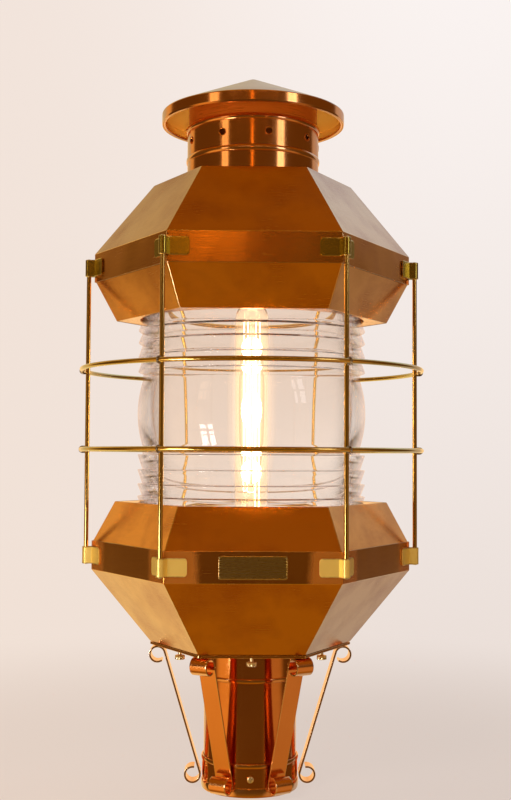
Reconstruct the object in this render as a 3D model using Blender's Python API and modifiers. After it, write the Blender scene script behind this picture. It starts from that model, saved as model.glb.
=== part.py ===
"""Navigation post lantern.

A six-sided copper lantern with a stepped glass lens in a brass cage, which stands on a tubular post fitter.
The origin is the centre of the fitter's mouth, +Z runs up the post, and the face with the name plate
looks along -Y.  All lengths are in metres.
"""
import math

import bmesh
import bpy
from mathutils import Matrix, Vector

OBJECT_NAME = "navigation_post_lantern"

# Sheet, clearances and cuts
SHEET = 0.0010
GAP = 0.0003
OVERRUN = 0.0050

# Six-sided copper body and hood, which are the same two pressings, one pair upside down
SIDES = 6
SHORT_SLOPE_RUN = 0.0203
LONG_SLOPE_H = 0.0628
BAND_H = 0.0254
SHORT_SLOPE_H = 0.0347
TUCK_H = 0.0080
FOLD_R = 0.0012
FLANGE_EDGE = 0.0066
FLANGE_REACH = 0.0100

# Stepped glass lens: a barrel with ridges above and below it
LENS_H = 0.1740
LENS_SINK = 0.0092
LENS_ENTRY = 0.0048
LENS_BORE_R = 0.0900
VALLEY_WALL = 0.0066
RIDGE_WALL = 0.0110
RIM_WALL = 0.0070
RIM_H = 0.0038
BARREL_H = 0.0580
BARREL_WALL = 0.0111
BARREL_GROOVE_H = 0.0072
RIDGE_SHARES = (0.2787, 0.2681, 0.2298, 0.2234)
LENS_CLEARANCE = 0.0005
DECK_LEDGE = 0.0051
SEAT_LIP = 0.0015
GASKET_T = 0.0020

# Brass cage of upright bars, two rings and the clips that hold the bars to the copper
ROD_R = 0.0020
BAR_OFFSET = 0.0048
BAR_STANDS_OUT = 0.0005
RING_SPACING = 0.0700
RING_RISE = 0.0030
CLIP_H = 0.0150
CLIP_FLANGE = 0.0190
CLIP_T = 0.0010

# Vent on the roof
COLLAR_R = 0.0590
COLLAR_H = 0.0508
COLLAR_FOOT = 0.0040
COLLAR_BEAD = 0.0010
COLLAR_LIP_H = 0.0049
COLLAR_BEAD_Z = 0.0210
COLLAR_BEAD_H = 0.0051
VENT_HOLES = 9
VENT_HOLE_R = 0.0029
VENT_HOLE_DROP = 0.0152
VENT_HOLE_TURN = math.radians(202.5)
NECK_LAP = 0.0080
CAP_OVERHANG = 0.0228
CAP_RIM_H = 0.0098
CAP_RISE = 0.0344
CAP_LIFT = 0.0032

# Name plate, left bare
NAME_PLATE_W = 0.0545
NAME_PLATE_MARGIN = 0.00345
NAME_PLATE_T = 0.0008
NAME_PLATE_CORNER_R = 0.0022

# Base plate, thumbscrews and post fitter
PLATE_LEDGE = 0.0002
PLATE_T = 0.0024
THUMBSCREW_CIRCLE_R = 0.0700
THUMBSCREW_SHANK_R = 0.0015
THUMBSCREW_HEAD_R = 0.0042
THUMBSCREW_HEAD_H = 0.0037
THUMBSCREW_DROP = 0.0039
THUMBSCREW_REACH = 0.0060
KNURL_DEPTH = 0.0004
FITTER_H = 0.1229
POST_BORE_R = 0.0390
TUBE_WALL = 0.0016
UPPER_SLEEVE_H = 0.0270
LOWER_SLEEVE_H = 0.0283
SLEEVE_BEAD = 0.0008
SLEEVE_BEAD_H = 0.0040
FOOT_BEAD_H = 0.0080
POST_SCREWS = 3
POST_SCREW_Z = 0.0155
POST_SCREW_SHANK_R = 0.0015
POST_SCREW_HEAD_R = 0.0029
POST_SCREW_HEAD_H = 0.0016

# Scrolled straps between the base plate and the fitter's foot
STRAP_W = 0.0159
STRAP_T = 0.0016
SCROLL_R = 0.0074
SCROLL_OVERHANG = 0.0003
SCROLL_FOOT_Z = 0.0110
TOP_SCROLL_TURN = math.radians(290.0)
FOOT_SCROLL_TURN = math.radians(300.0)

# Lamp holder and tubular lamp
STEM_R = 0.0050
STEM_BORE_R = 0.0032
STEM_TAIL = 0.0060
STEM_ENTRY = 0.0060
NUT_R = 0.0100
NUT_H = 0.0050
SOCKET_TOP_ABOVE_PLATE = 0.1242
SOCKET_WALL = 0.0039
SOCKET_NECK_R = 0.0090
SOCKET_NECK_H = 0.0100
SOCKET_TAPER_H = 0.0190
CUP_IN_TAPER = 0.0045
CONTACT_GAP = 0.0024
LAMP_THREAD_R = 0.0129
LAMP_PLAY = 0.0007
LAMP_BASE_H = 0.0265
LAMP_BASE_TIP_R = 0.0070
LAMP_BASE_TAPER_H = 0.0050
LAMP_SEAT = 0.0009
BULB_R = 0.0150
BULB_NECK_STEP = 0.0014
BULB_NECK_H = 0.0140
BULB_H = 0.1585
BULB_WALL = 0.0008
FILAMENT_LEGS = 6
FILAMENT_R = 0.0003
FILAMENT_CAGE_R = 0.0070
FILAMENT_LOW = 0.0250
FILAMENT_HEADROOM = 0.0160

# Facets round a full turn
LARGE_STEPS = 40
MEDIUM_STEPS = 24
SMALL_STEPS = 12
ROD_SIDES = 8
RING_STEPS = 40
RING_SIDES = 6
BEAD_STEPS = 3
SCROLL_STEPS = 10

# Radii worked out from the sizes above
FLAT_SHARE = math.cos(math.pi / SIDES)
LENS_VALLEY_R = LENS_BORE_R + VALLEY_WALL
LENS_RIDGE_R = LENS_BORE_R + RIDGE_WALL
LENS_RIM_R = LENS_BORE_R + RIM_WALL
BARREL_R = LENS_BORE_R + BARREL_WALL
FIRST_RIDGE_Z = BARREL_H / 2 + BARREL_GROOVE_H
RIDGES_H = LENS_H / 2 - RIM_H - FIRST_RIDGE_Z
LAST_RIDGE_H = RIDGES_H * RIDGE_SHARES[-1]
DECK_SHARE = min(1.0, max(0.0, (LENS_SINK - RIM_H) / LAST_RIDGE_H))
LENS_HOLE_R = LENS_RIM_R + (LENS_RIDGE_R - LENS_RIM_R) * DECK_SHARE + LENS_CLEARANCE
MOUTH_CORNER_R = (LENS_HOLE_R + DECK_LEDGE) / FLAT_SHARE
BAND_CORNER_R = MOUTH_CORNER_R + SHORT_SLOPE_RUN
BAR_CIRCLE_R = BAND_CORNER_R + BAR_OFFSET
FLANGE_HOLE_R = THUMBSCREW_CIRCLE_R - FLANGE_REACH
NARROW_CORNER_R = (THUMBSCREW_CIRCLE_R + FLANGE_EDGE) / FLAT_SHARE
PLATE_CORNER_R = NARROW_CORNER_R + PLATE_LEDGE
SCROLL_TOP_CIRCLE_R = PLATE_CORNER_R + SCROLL_OVERHANG - SCROLL_R
CAP_R = COLLAR_R + CAP_OVERHANG
TUBE_R = POST_BORE_R + TUBE_WALL
SLEEVE_R = TUBE_R + GAP + SHEET
LAMP_CUP_R = LAMP_THREAD_R + LAMP_PLAY
SOCKET_R = LAMP_CUP_R + SOCKET_WALL
BULB_NECK_R = LAMP_THREAD_R - BULB_NECK_STEP

# Heights and levels worked out from the sizes above
GLASS_H = LENS_H - LENS_SINK - LENS_ENTRY
NAME_PLATE_H = BAND_H - 2 * NAME_PLATE_MARGIN
SOCKET_CUP_H = LAMP_BASE_H - LAMP_SEAT + CONTACT_GAP
SOCKET_H = SOCKET_NECK_H + SOCKET_TAPER_H + SOCKET_CUP_H - CUP_IN_TAPER
PLATE_BOTTOM_Z = FITTER_H
PLATE_TOP_Z = PLATE_BOTTOM_Z + PLATE_T
BODY_BOTTOM_Z = PLATE_TOP_Z + GAP
BODY_BAND_LOW_Z = BODY_BOTTOM_Z + LONG_SLOPE_H
BODY_BAND_HIGH_Z = BODY_BAND_LOW_Z + BAND_H
DECK_Z = BODY_BAND_HIGH_Z + SHORT_SLOPE_H
HOOD_MOUTH_Z = DECK_Z + GLASS_H
HOOD_BAND_LOW_Z = HOOD_MOUTH_Z + SHORT_SLOPE_H
HOOD_BAND_HIGH_Z = HOOD_BAND_LOW_Z + BAND_H
ROOF_Z = HOOD_BAND_HIGH_Z + LONG_SLOPE_H
LENS_BOTTOM_Z = DECK_Z - LENS_SINK
LENS_MIDDLE_Z = LENS_BOTTOM_Z + LENS_H / 2
LENS_TOP_Z = LENS_BOTTOM_Z + LENS_H
COLLAR_TOP_Z = ROOF_Z + COLLAR_H
CAP_RIM_Z = COLLAR_TOP_Z + CAP_LIFT
CAP_EDGE_Z = CAP_RIM_Z + CAP_RIM_H
SOCKET_TOP_Z = PLATE_TOP_Z + SOCKET_TOP_ABOVE_PLATE
SOCKET_BOTTOM_Z = SOCKET_TOP_Z - SOCKET_H
LAMP_BASE_TOP_Z = SOCKET_TOP_Z + LAMP_SEAT
BULB_BOTTOM_Z = LAMP_BASE_TOP_Z + GAP


def clear_scene():
    """Remove what an empty file starts with."""
    for item in list(bpy.data.objects):
        bpy.data.objects.remove(item, do_unlink=True)


def new_collection(name):
    """Return a collection linked to the scene."""
    group = bpy.data.collections.new(name)
    bpy.context.scene.collection.children.link(group)
    return group


def new_material(name, colour, roughness, metallic, transmission=0.0):
    """Return a Principled material with the part's own colour and gloss."""
    material = bpy.data.materials.new(name)
    material.use_nodes = True
    shader = material.node_tree.nodes["Principled BSDF"]
    shader.inputs["Base Color"].default_value = (*colour, 1.0)
    shader.inputs["Roughness"].default_value = roughness
    shader.inputs["Metallic"].default_value = metallic
    shader.inputs["Transmission Weight"].default_value = transmission
    material.diffuse_color = (*colour, 1.0)
    return material


clear_scene()
PARTS = new_collection(OBJECT_NAME)
CUTTERS = new_collection("cutters")
COPPER = new_material("brushed_copper", (0.72, 0.33, 0.13), 0.30, 1.0)
BRIGHT_COPPER = new_material("bright_copper", (0.76, 0.30, 0.14), 0.12, 1.0)
BRASS = new_material("brass", (0.62, 0.43, 0.14), 0.25, 1.0)
GLASS = new_material("lens_glass", (0.95, 0.93, 0.90), 0.03, 0.0, 1.0)
BULB_GLASS = new_material("bulb_glass", (1.0, 0.93, 0.80), 0.02, 0.0, 1.0)
GASKET = new_material("gasket_cork", (0.30, 0.22, 0.15), 0.85, 0.0)
FILAMENT = new_material("filament", (1.0, 0.80, 0.45), 0.50, 0.0)


def add_object(name, data, material, group=PARTS):
    """Put new data in the scene as one named object."""
    item = bpy.data.objects.new(name, data)
    if material is not None:
        data.materials.clear()
        data.materials.append(material)
    group.objects.link(item)
    if group is CUTTERS:
        item.hide_render = True
        item.display_type = "WIRE"
    return item


def shade(mesh):
    """Shade the round faces smooth and keep the folds sharp."""
    mesh.shade_smooth()
    mesh.set_sharp_from_angle(angle=math.radians(35.0))


def profile_mesh(name, points, closed):
    """Return a mesh of edges along (radius, height) points in the XZ plane."""
    mesh = bpy.data.meshes.new(name)
    build = bmesh.new()
    verts = [build.verts.new((radius, 0.0, height)) for radius, height in points]
    for first, second in zip(verts, verts[1:]):
        build.edges.new((first, second))
    if closed:
        build.edges.new((verts[-1], verts[0]))
    build.to_mesh(mesh)
    build.free()
    return mesh


def add_screw(item, steps, smooth):
    """Turn a profile about Z into a closed ring of faces."""
    turn = item.modifiers.new("turn", "SCREW")
    turn.axis = "Z"
    turn.angle = 2 * math.pi
    turn.steps = steps
    turn.render_steps = steps
    turn.use_merge_vertices = True
    turn.merge_threshold = GAP / 10
    turn.use_smooth_shade = smooth


def turned_solid(name, outline, material, steps, closed=True, group=PARTS):
    """Turn a solid's outline about Z; an open outline has both its ends on the axis."""
    item = add_object(name, profile_mesh(name, outline, closed), material, group)
    add_screw(item, steps, steps > SIDES)
    return item


def turned_sheet(name, line, material, steps, thickness=SHEET, fold=0.0):
    """Turn a line about Z and give it a wall that grows inwards; fold rounds its bends."""
    item = add_object(name, profile_mesh(name, line, False), material)
    add_screw(item, steps, steps > SIDES)
    if fold:
        bend = item.modifiers.new("bend", "BEVEL")
        bend.width = fold
        bend.segments = 1
        bend.limit_method = "ANGLE"
        bend.angle_limit = math.radians(15.0)
    wall = item.modifiers.new("wall", "SOLIDIFY")
    wall.thickness = thickness
    wall.offset = -1.0
    wall.use_even_offset = True
    return item


def cut(item, cutter, operation="DIFFERENCE"):
    """Cut or join one object with another."""
    boolean = item.modifiers.new(operation.lower(), "BOOLEAN")
    boolean.operation = operation
    boolean.solver = "EXACT"
    boolean.object = cutter


def rod_mesh(name, radius, low, high, sides):
    """Return a closed cylinder about Z between two heights."""
    mesh = bpy.data.meshes.new(name)
    build = bmesh.new()
    middle = Matrix.Translation((0.0, 0.0, (low + high) / 2))
    bmesh.ops.create_cone(build, cap_ends=True, segments=sides, radius1=radius, radius2=radius,
                          depth=high - low, matrix=middle)
    build.to_mesh(mesh)
    build.free()
    shade(mesh)
    return mesh


def ring_of_rods(name, places, radius, low, high, sides):
    """Return one cutter mesh of upright cylinders at the given places."""
    mesh = bpy.data.meshes.new(name)
    build = bmesh.new()
    for place in places:
        middle = Matrix.Translation((place.x, place.y, (low + high) / 2))
        bmesh.ops.create_cone(build, cap_ends=True, segments=sides, radius1=radius, radius2=radius,
                              depth=high - low, matrix=middle)
    build.to_mesh(mesh)
    build.free()
    return mesh


def ring_of_spokes(name, count, start, height, radius, inner, outer, sides):
    """Return one cutter mesh of level cylinders that point away from the axis."""
    mesh = bpy.data.meshes.new(name)
    build = bmesh.new()
    for angle in turns(count, start):
        spoke = (Matrix.Rotation(angle, 4, "Z") @ Matrix.Translation(((inner + outer) / 2, 0.0, height))
                 @ Matrix.Rotation(math.pi / 2, 4, "Y"))
        bmesh.ops.create_cone(build, cap_ends=True, segments=sides, radius1=radius, radius2=radius,
                              depth=outer - inner, matrix=spoke)
    build.to_mesh(mesh)
    build.free()
    return mesh


def settled_mesh(item):
    """Return an object's evaluated mesh with its seams welded."""
    bpy.context.view_layer.update()
    evaluated = item.evaluated_get(bpy.context.evaluated_depsgraph_get())
    mesh = bpy.data.meshes.new_from_object(evaluated)
    build = bmesh.new()
    build.from_mesh(mesh)
    bmesh.ops.remove_doubles(build, verts=build.verts, dist=GAP / 100)
    build.to_mesh(mesh)
    build.free()
    mesh.name = item.name
    return mesh


def turns(count, start=0.0):
    """Return equally spaced angles."""
    return [start + index * 2 * math.pi / count for index in range(count)]


def place_round(stem, mesh, material, angles, radius=0.0, height=0.0):
    """Place numbered copies of one mesh round the axis, each turned to face away from it."""
    copies = []
    for number, angle in enumerate(angles, start=1):
        item = add_object(f"{stem}_{number}", mesh, material)
        item.location = (radius * math.cos(angle), radius * math.sin(angle), height)
        item.rotation_euler = (0.0, 0.0, angle)
        copies.append(item)
    return copies


def ribbon_mesh(name, path, width, thickness):
    """Return a strip of even thickness whose middle line follows (x, z) points, centred across Y."""
    mesh = bpy.data.meshes.new(name)
    build = bmesh.new()
    rows = [[build.verts.new((x, side * width / 2, z)) for side in (-1, 1)] for x, z in path]
    for (near, far), (next_near, next_far) in zip(rows, rows[1:]):
        build.faces.new((near, far, next_far, next_near))
    build.to_mesh(mesh)
    build.free()
    strip = add_object(name + "_strip", mesh, None)
    wall = strip.modifiers.new("wall", "SOLIDIFY")
    wall.thickness = thickness
    wall.offset = 0.0
    wall.use_even_offset = True
    solid = settled_mesh(strip)
    bpy.data.objects.remove(strip, do_unlink=True)
    shade(solid)
    return solid


def arc(centre, radius, start, sweep, steps):
    """Return points along an arc in the plane of its centre, from start through sweep."""
    angles = [start + sweep * index / steps for index in range(steps + 1)]
    return [(centre[0] + radius * math.cos(a), centre[1] + radius * math.sin(a)) for a in angles]


def bead(radius, height, depth, tall):
    """Return a rounded bead's points down a wall, from its top to its bottom."""
    angles = [math.pi / 2 - math.pi * index / BEAD_STEPS for index in range(BEAD_STEPS + 1)]
    return [(radius + depth * math.cos(a), height + tall / 2 * math.sin(a)) for a in angles]


def bored(line, radius):
    """Close a beaded wall's outer line with a plain bore."""
    return line + [(radius, line[-1][1]), (radius, line[0][1])]


def hex_pair(shell_name, slope_name, flat_z, direction, hole_r):
    """Build one long-sloped shell with its band, and the short slope tucked into the band.

    direction is 1 for the hood, whose flat end is up, and -1 for the body, whose flat end is down.
    """
    band_near_z = flat_z - direction * LONG_SLOPE_H
    band_far_z = band_near_z - direction * BAND_H
    mouth_z = band_far_z - direction * SHORT_SLOPE_H
    line = [(0.0, flat_z), (NARROW_CORNER_R, flat_z), (BAND_CORNER_R, band_near_z),
            (BAND_CORNER_R, band_far_z)]
    tuck_r = BAND_CORNER_R - (SHEET + GAP) / FLAT_SHARE
    slope = [(tuck_r, band_far_z + direction * TUCK_H), (tuck_r, band_far_z), (MOUTH_CORNER_R, mouth_z)]
    if direction < 0:
        line.reverse()
        slope.reverse()
    shell = turned_sheet(shell_name, line, COPPER, SIDES, fold=FOLD_R)
    turned_sheet(slope_name, slope, COPPER, SIDES, fold=FOLD_R / 2)
    hole = rod_mesh(shell_name + "_hole", hole_r, flat_z - OVERRUN, flat_z + OVERRUN, LARGE_STEPS)
    cut(shell, add_object(shell_name + "_hole", hole, None, CUTTERS))
    return shell


def lens_plate(name, mouth_z, direction):
    """Build the flat plate that closes a mouth round the glass."""
    slope_lean = (BAND_CORNER_R - MOUTH_CORNER_R) * FLAT_SHARE / SHORT_SLOPE_H
    wall_across = SHEET * math.hypot(1.0, slope_lean)
    corner_r = MOUTH_CORNER_R - (wall_across + GAP) / FLAT_SHARE
    low = mouth_z if direction > 0 else mouth_z - SHEET
    outline = [(0.0, low + SHEET), (corner_r, low + SHEET), (corner_r, low), (0.0, low)]
    plate = turned_solid(name, outline, COPPER, SIDES, closed=False)
    hole = rod_mesh(name + "_hole", LENS_HOLE_R, low - OVERRUN, low + OVERRUN, LARGE_STEPS)
    cut(plate, add_object(name + "_hole", hole, None, CUTTERS))
    return low


def lens_seat(position, plate_face_z, glass_end_z, direction):
    """Build the angle ring and the gasket that hold one end of the glass to its plate."""
    gasket_near = glass_end_z + direction * GAP
    gasket_far = gasket_near + direction * GASKET_T
    ledge_near = gasket_far + direction * GAP
    ledge_far = ledge_near + direction * SHEET
    wall_end = plate_face_z + direction * GAP
    inner_r = LENS_HOLE_R + GAP
    outer_r = inner_r + SHEET
    lip_r = LENS_BORE_R - SEAT_LIP
    seat = [(outer_r, wall_end), (outer_r, ledge_far), (lip_r, ledge_far), (lip_r, ledge_near),
            (inner_r, ledge_near), (inner_r, wall_end)]
    gasket_bore = LENS_BORE_R + GAP
    ring = [(LENS_RIM_R, gasket_near), (LENS_RIM_R, gasket_far), (gasket_bore, gasket_far),
            (gasket_bore, gasket_near)]
    if direction > 0:
        seat.reverse()
        ring.reverse()
    turned_solid(f"lens_seat_{position}", seat, COPPER, MEDIUM_STEPS)
    turned_solid(f"lens_gasket_{position}", ring, GASKET, MEDIUM_STEPS)


def make_hood():
    """Build the roof shell, its undercut and the plate above the glass."""
    hex_pair("hood_roof", "hood_undercut", ROOF_Z, 1, COLLAR_R + GAP)
    floor_low = lens_plate("hood_floor", HOOD_MOUTH_Z + GAP, 1)
    lens_seat("upper", floor_low + SHEET, LENS_TOP_Z, 1)


def make_body():
    """Build the pan, its shoulder and the deck below the glass."""
    pan = hex_pair("body_pan", "body_shoulder", BODY_BOTTOM_Z, -1, FLANGE_HOLE_R)
    deck_low = lens_plate("body_deck", DECK_Z - GAP, -1)
    lens_seat("lower", deck_low, LENS_BOTTOM_Z, -1)
    holes = ring_of_rods("pan_screw_holes", thumbscrew_places(), THUMBSCREW_SHANK_R + GAP,
                         BODY_BOTTOM_Z - OVERRUN, BODY_BOTTOM_Z + OVERRUN, SMALL_STEPS)
    cut(pan, add_object("pan_screw_holes", holes, None, CUTTERS))


def ridge_side(direction):
    """Return the glass outline from the barrel's edge out to one end of the lens.

    Each ridge steps straight out and slopes back, and its height is its share of the ridged zone.
    """
    points = [(LENS_VALLEY_R, BARREL_H / 2)]
    height = FIRST_RIDGE_Z
    for share in RIDGE_SHARES:
        points += [(LENS_VALLEY_R, height), (LENS_RIDGE_R, height)]
        height += share * RIDGES_H
    points += [(LENS_RIM_R, height), (LENS_RIM_R, LENS_H / 2)]
    return [(radius, LENS_MIDDLE_Z + direction * rise) for radius, rise in points]


def make_lens():
    """Build the stepped lens: barrel, four ridges each way, and a plain rim at both ends."""
    swell = BARREL_R - LENS_VALLEY_R
    arc_r = (swell ** 2 + (BARREL_H / 2) ** 2) / (2 * swell)
    half_angle = math.asin(BARREL_H / 2 / arc_r)
    barrel = arc((BARREL_R - arc_r, LENS_MIDDLE_Z), arc_r, half_angle, -2 * half_angle, 2 * BEAD_STEPS)
    upper = list(reversed(ridge_side(1)))
    outline = upper[:-1] + barrel + ridge_side(-1)[1:]
    outline += [(LENS_BORE_R, LENS_BOTTOM_Z), (LENS_BORE_R, LENS_TOP_Z)]
    turned_solid("fresnel_lens", outline, GLASS, LARGE_STEPS)


def clip_path():
    """Return a clip's plan line: along one face, round the bar, and along the next face.

    The points are (outwards, along) from the copper's corner, which the bar stands in front of.
    """
    lift = GAP + CLIP_T / 2
    corner = lift / FLAT_SHARE
    wrap_r = ROD_R + GAP + CLIP_T / 2
    bar_out = BAR_CIRCLE_R - BAND_CORNER_R
    lean = math.pi / SIDES
    reach = CLIP_FLANGE
    face_end = (corner - reach * math.sin(lean), -reach * math.cos(lean))
    face_near = (corner - wrap_r * math.tan(lean), -wrap_r)
    wrap = arc((bar_out, 0.0), wrap_r, -math.pi / 2, math.pi, 2 * BEAD_STEPS)
    return [face_end, face_near] + wrap + [(face_near[0], wrap_r), (face_end[0], -face_end[1])]


def make_cage():
    """Build six bars, two rings and twelve clips."""
    low_z = (BODY_BAND_LOW_Z + BODY_BAND_HIGH_Z) / 2
    high_z = (HOOD_BAND_LOW_Z + HOOD_BAND_HIGH_Z) / 2
    reach = CLIP_H / 2 + BAR_STANDS_OUT
    bar = rod_mesh("cage_bar", ROD_R, low_z - reach, high_z + reach, ROD_SIDES)
    place_round("cage_bar", bar, BRASS, turns(SIDES), BAR_CIRCLE_R)
    # the strip runs across Y, so it is stood up to run across Z with its outward side kept
    clip = ribbon_mesh("bar_clip", clip_path(), CLIP_H, CLIP_T)
    clip.transform(Matrix.Rotation(-math.pi / 2, 4, "X"))
    for position, height in (("lower", low_z), ("upper", high_z)):
        place_round(f"bar_clip_{position}", clip, BRASS, turns(SIDES), BAND_CORNER_R, height)
    ring_r = BAR_CIRCLE_R + 2 * ROD_R + GAP
    for position, side in (("lower", -1), ("upper", 1)):
        height = LENS_MIDDLE_Z + RING_RISE + side * RING_SPACING / 2
        section = [(ring_r + ROD_R * math.cos(a), height - ROD_R * math.sin(a)) for a in turns(RING_SIDES)]
        turned_solid(f"cage_ring_{position}", section, BRASS, RING_STEPS)


def make_vent():
    """Build the perforated collar, the neck inside it and the conical cap."""
    line = bead(COLLAR_R, COLLAR_TOP_Z - COLLAR_LIP_H / 2, COLLAR_BEAD, COLLAR_LIP_H)
    line += bead(COLLAR_R, ROOF_Z + COLLAR_BEAD_Z, COLLAR_BEAD, COLLAR_BEAD_H)
    line.append((COLLAR_R, ROOF_Z - COLLAR_FOOT))
    collar = turned_solid("vent_collar", bored(line, COLLAR_R - SHEET), BRIGHT_COPPER, LARGE_STEPS)
    hole_z = COLLAR_TOP_Z - VENT_HOLE_DROP
    holes = ring_of_spokes("vent_holes", VENT_HOLES, VENT_HOLE_TURN, hole_z, VENT_HOLE_R,
                           COLLAR_R - OVERRUN, COLLAR_R + OVERRUN, SMALL_STEPS)
    cut(collar, add_object("vent_holes", holes, None, CUTTERS))
    slope = CAP_RISE / CAP_R
    wall_drop = SHEET * math.hypot(1.0, slope)
    neck_r = COLLAR_R - SHEET - GAP
    neck_top = CAP_EDGE_Z + CAP_RISE - slope * neck_r - wall_drop - GAP
    neck = [(neck_r, neck_top), (neck_r, COLLAR_TOP_Z - NECK_LAP)]
    turned_sheet("vent_neck", neck, BRIGHT_COPPER, LARGE_STEPS)
    cap = [(0.0, CAP_EDGE_Z + CAP_RISE), (CAP_R, CAP_EDGE_Z), (CAP_R, CAP_RIM_Z)]
    turned_sheet("vent_cap", cap, BRIGHT_COPPER, LARGE_STEPS)


def make_name_plate():
    """Build the bare plate with rounded corners on the front of the lower band."""
    curve = bpy.data.curves.new("name_plate", "CURVE")
    curve.dimensions = "2D"
    curve.fill_mode = "BOTH"
    curve.extrude = NAME_PLATE_T / 2
    reach_x = NAME_PLATE_W / 2 - NAME_PLATE_CORNER_R
    reach_y = NAME_PLATE_H / 2 - NAME_PLATE_CORNER_R
    corners = ((reach_x, reach_y), (-reach_x, reach_y), (-reach_x, -reach_y), (reach_x, -reach_y))
    points = []
    for number, centre in enumerate(corners):
        points += arc(centre, NAME_PLATE_CORNER_R, number * math.pi / 2, math.pi / 2, BEAD_STEPS)
    spline = curve.splines.new("POLY")
    spline.points.add(len(points) - 1)
    for point, (x, y) in zip(spline.points, points):
        point.co = (x, y, 0.0, 1.0)
    spline.use_cyclic_u = True
    plate = add_object("name_plate", curve, BRASS)
    face_y = BAND_CORNER_R * FLAT_SHARE + GAP + NAME_PLATE_T / 2
    plate.location = (0.0, -face_y, (BODY_BAND_LOW_Z + BODY_BAND_HIGH_Z) / 2)
    plate.rotation_euler = (math.pi / 2, 0.0, 0.0)


def thumbscrew_places():
    """Return where the thumbscrews stand, in the middle of each side."""
    angles = turns(SIDES, math.pi / SIDES)
    return [Vector((math.cos(a), math.sin(a))) * THUMBSCREW_CIRCLE_R for a in angles]


def make_base_plate():
    """Build the plate that closes the body and carries the fitter and the lamp."""
    outline = [(0.0, PLATE_TOP_Z), (PLATE_CORNER_R, PLATE_TOP_Z), (PLATE_CORNER_R, PLATE_BOTTOM_Z),
               (0.0, PLATE_BOTTOM_Z)]
    plate = turned_solid("base_plate", outline, COPPER, SIDES, closed=False)
    low = PLATE_BOTTOM_Z - OVERRUN
    high = PLATE_TOP_Z + OVERRUN
    holes = ring_of_rods("plate_screw_holes", thumbscrew_places(), THUMBSCREW_SHANK_R + GAP, low, high,
                         SMALL_STEPS)
    cut(plate, add_object("plate_screw_holes", holes, None, CUTTERS))
    stem_hole = rod_mesh("plate_stem_hole", STEM_R + GAP, low, high, SMALL_STEPS)
    cut(plate, add_object("plate_stem_hole", stem_hole, None, CUTTERS))


def make_thumbscrews():
    """Build the knurled screws that let the lantern lift off its base plate."""
    mesh = bpy.data.meshes.new("thumbscrew_head")
    build = bmesh.new()
    head_top = -THUMBSCREW_DROP
    middle = Matrix.Translation((0.0, 0.0, head_top - THUMBSCREW_HEAD_H / 2))
    bmesh.ops.create_cone(build, cap_ends=True, segments=2 * SMALL_STEPS, radius1=THUMBSCREW_HEAD_R,
                          radius2=THUMBSCREW_HEAD_R, depth=THUMBSCREW_HEAD_H, matrix=middle)
    step = math.pi / SMALL_STEPS
    shrink_share = 1.0 - KNURL_DEPTH / THUMBSCREW_HEAD_R
    for vert in build.verts:
        if round(math.atan2(vert.co.y, vert.co.x) / step) % 2:
            vert.co.xy = vert.co.xy * shrink_share
    build.to_mesh(mesh)
    build.free()
    head = add_object("thumbscrew_head", mesh, BRASS, CUTTERS)
    shank_top = PLATE_T + GAP + SHEET + THUMBSCREW_REACH
    shank_low = head_top - THUMBSCREW_HEAD_H / 2
    shank = add_object("thumbscrew_shank", rod_mesh("thumbscrew_shank", THUMBSCREW_SHANK_R, shank_low,
                                                    shank_top, ROD_SIDES), None, CUTTERS)
    cut(head, shank, "UNION")
    screw = settled_mesh(head)
    shade(screw)
    bpy.data.objects.remove(head, do_unlink=True)
    bpy.data.objects.remove(shank, do_unlink=True)
    angles = turns(SIDES, math.pi / SIDES)
    place_round("thumbscrew", screw, BRASS, angles, THUMBSCREW_CIRCLE_R, PLATE_BOTTOM_Z)


def make_fitter():
    """Build the post tube, its two sleeves and the screws that bite on the post."""
    tube_top = PLATE_BOTTOM_Z - GAP
    wall_line = [(TUBE_R, tube_top), (TUBE_R, 0.0)]
    tube = turned_sheet("post_tube", wall_line, BRIGHT_COPPER, LARGE_STEPS, TUBE_WALL)
    upper_low = tube_top - UPPER_SLEEVE_H
    line = [(SLEEVE_R, tube_top)]
    line += bead(SLEEVE_R, upper_low + SLEEVE_BEAD_H / 2, SLEEVE_BEAD, SLEEVE_BEAD_H)
    turned_solid("sleeve_upper", bored(line, SLEEVE_R - SHEET), BRIGHT_COPPER, LARGE_STEPS)
    line = bead(SLEEVE_R, LOWER_SLEEVE_H - SLEEVE_BEAD_H / 2, SLEEVE_BEAD, SLEEVE_BEAD_H)
    line += bead(SLEEVE_R, FOOT_BEAD_H / 2, SLEEVE_BEAD, FOOT_BEAD_H)
    sleeve = turned_solid("sleeve_lower", bored(line, SLEEVE_R - SHEET), BRIGHT_COPPER, LARGE_STEPS)
    front = -math.pi / 2
    holes = ring_of_spokes("post_screw_holes", POST_SCREWS, front, POST_SCREW_Z, POST_SCREW_SHANK_R + GAP,
                           POST_BORE_R - OVERRUN, SLEEVE_R + OVERRUN, SMALL_STEPS)
    cutter = add_object("post_screw_holes", holes, None, CUTTERS)
    cut(tube, cutter)
    cut(sleeve, cutter)
    head_in = SLEEVE_R + GAP
    head_out = head_in + POST_SCREW_HEAD_H
    edge = head_in + POST_SCREW_HEAD_H / 2
    outline = [(0.0, head_out), (POST_SCREW_HEAD_R * FLAT_SHARE, head_out), (POST_SCREW_HEAD_R, edge),
               (POST_SCREW_HEAD_R, head_in), (POST_SCREW_SHANK_R, head_in), (POST_SCREW_SHANK_R, POST_BORE_R),
               (0.0, POST_BORE_R)]
    screw = turned_solid("post_screw", outline, BRASS, SMALL_STEPS, closed=False)
    mesh = settled_mesh(screw)
    bpy.data.objects.remove(screw, do_unlink=True)
    mesh.transform(Matrix.Rotation(math.pi / 2, 4, "Y"))
    place_round("post_screw", mesh, BRASS, turns(POST_SCREWS, front), 0.0, POST_SCREW_Z)


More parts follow.
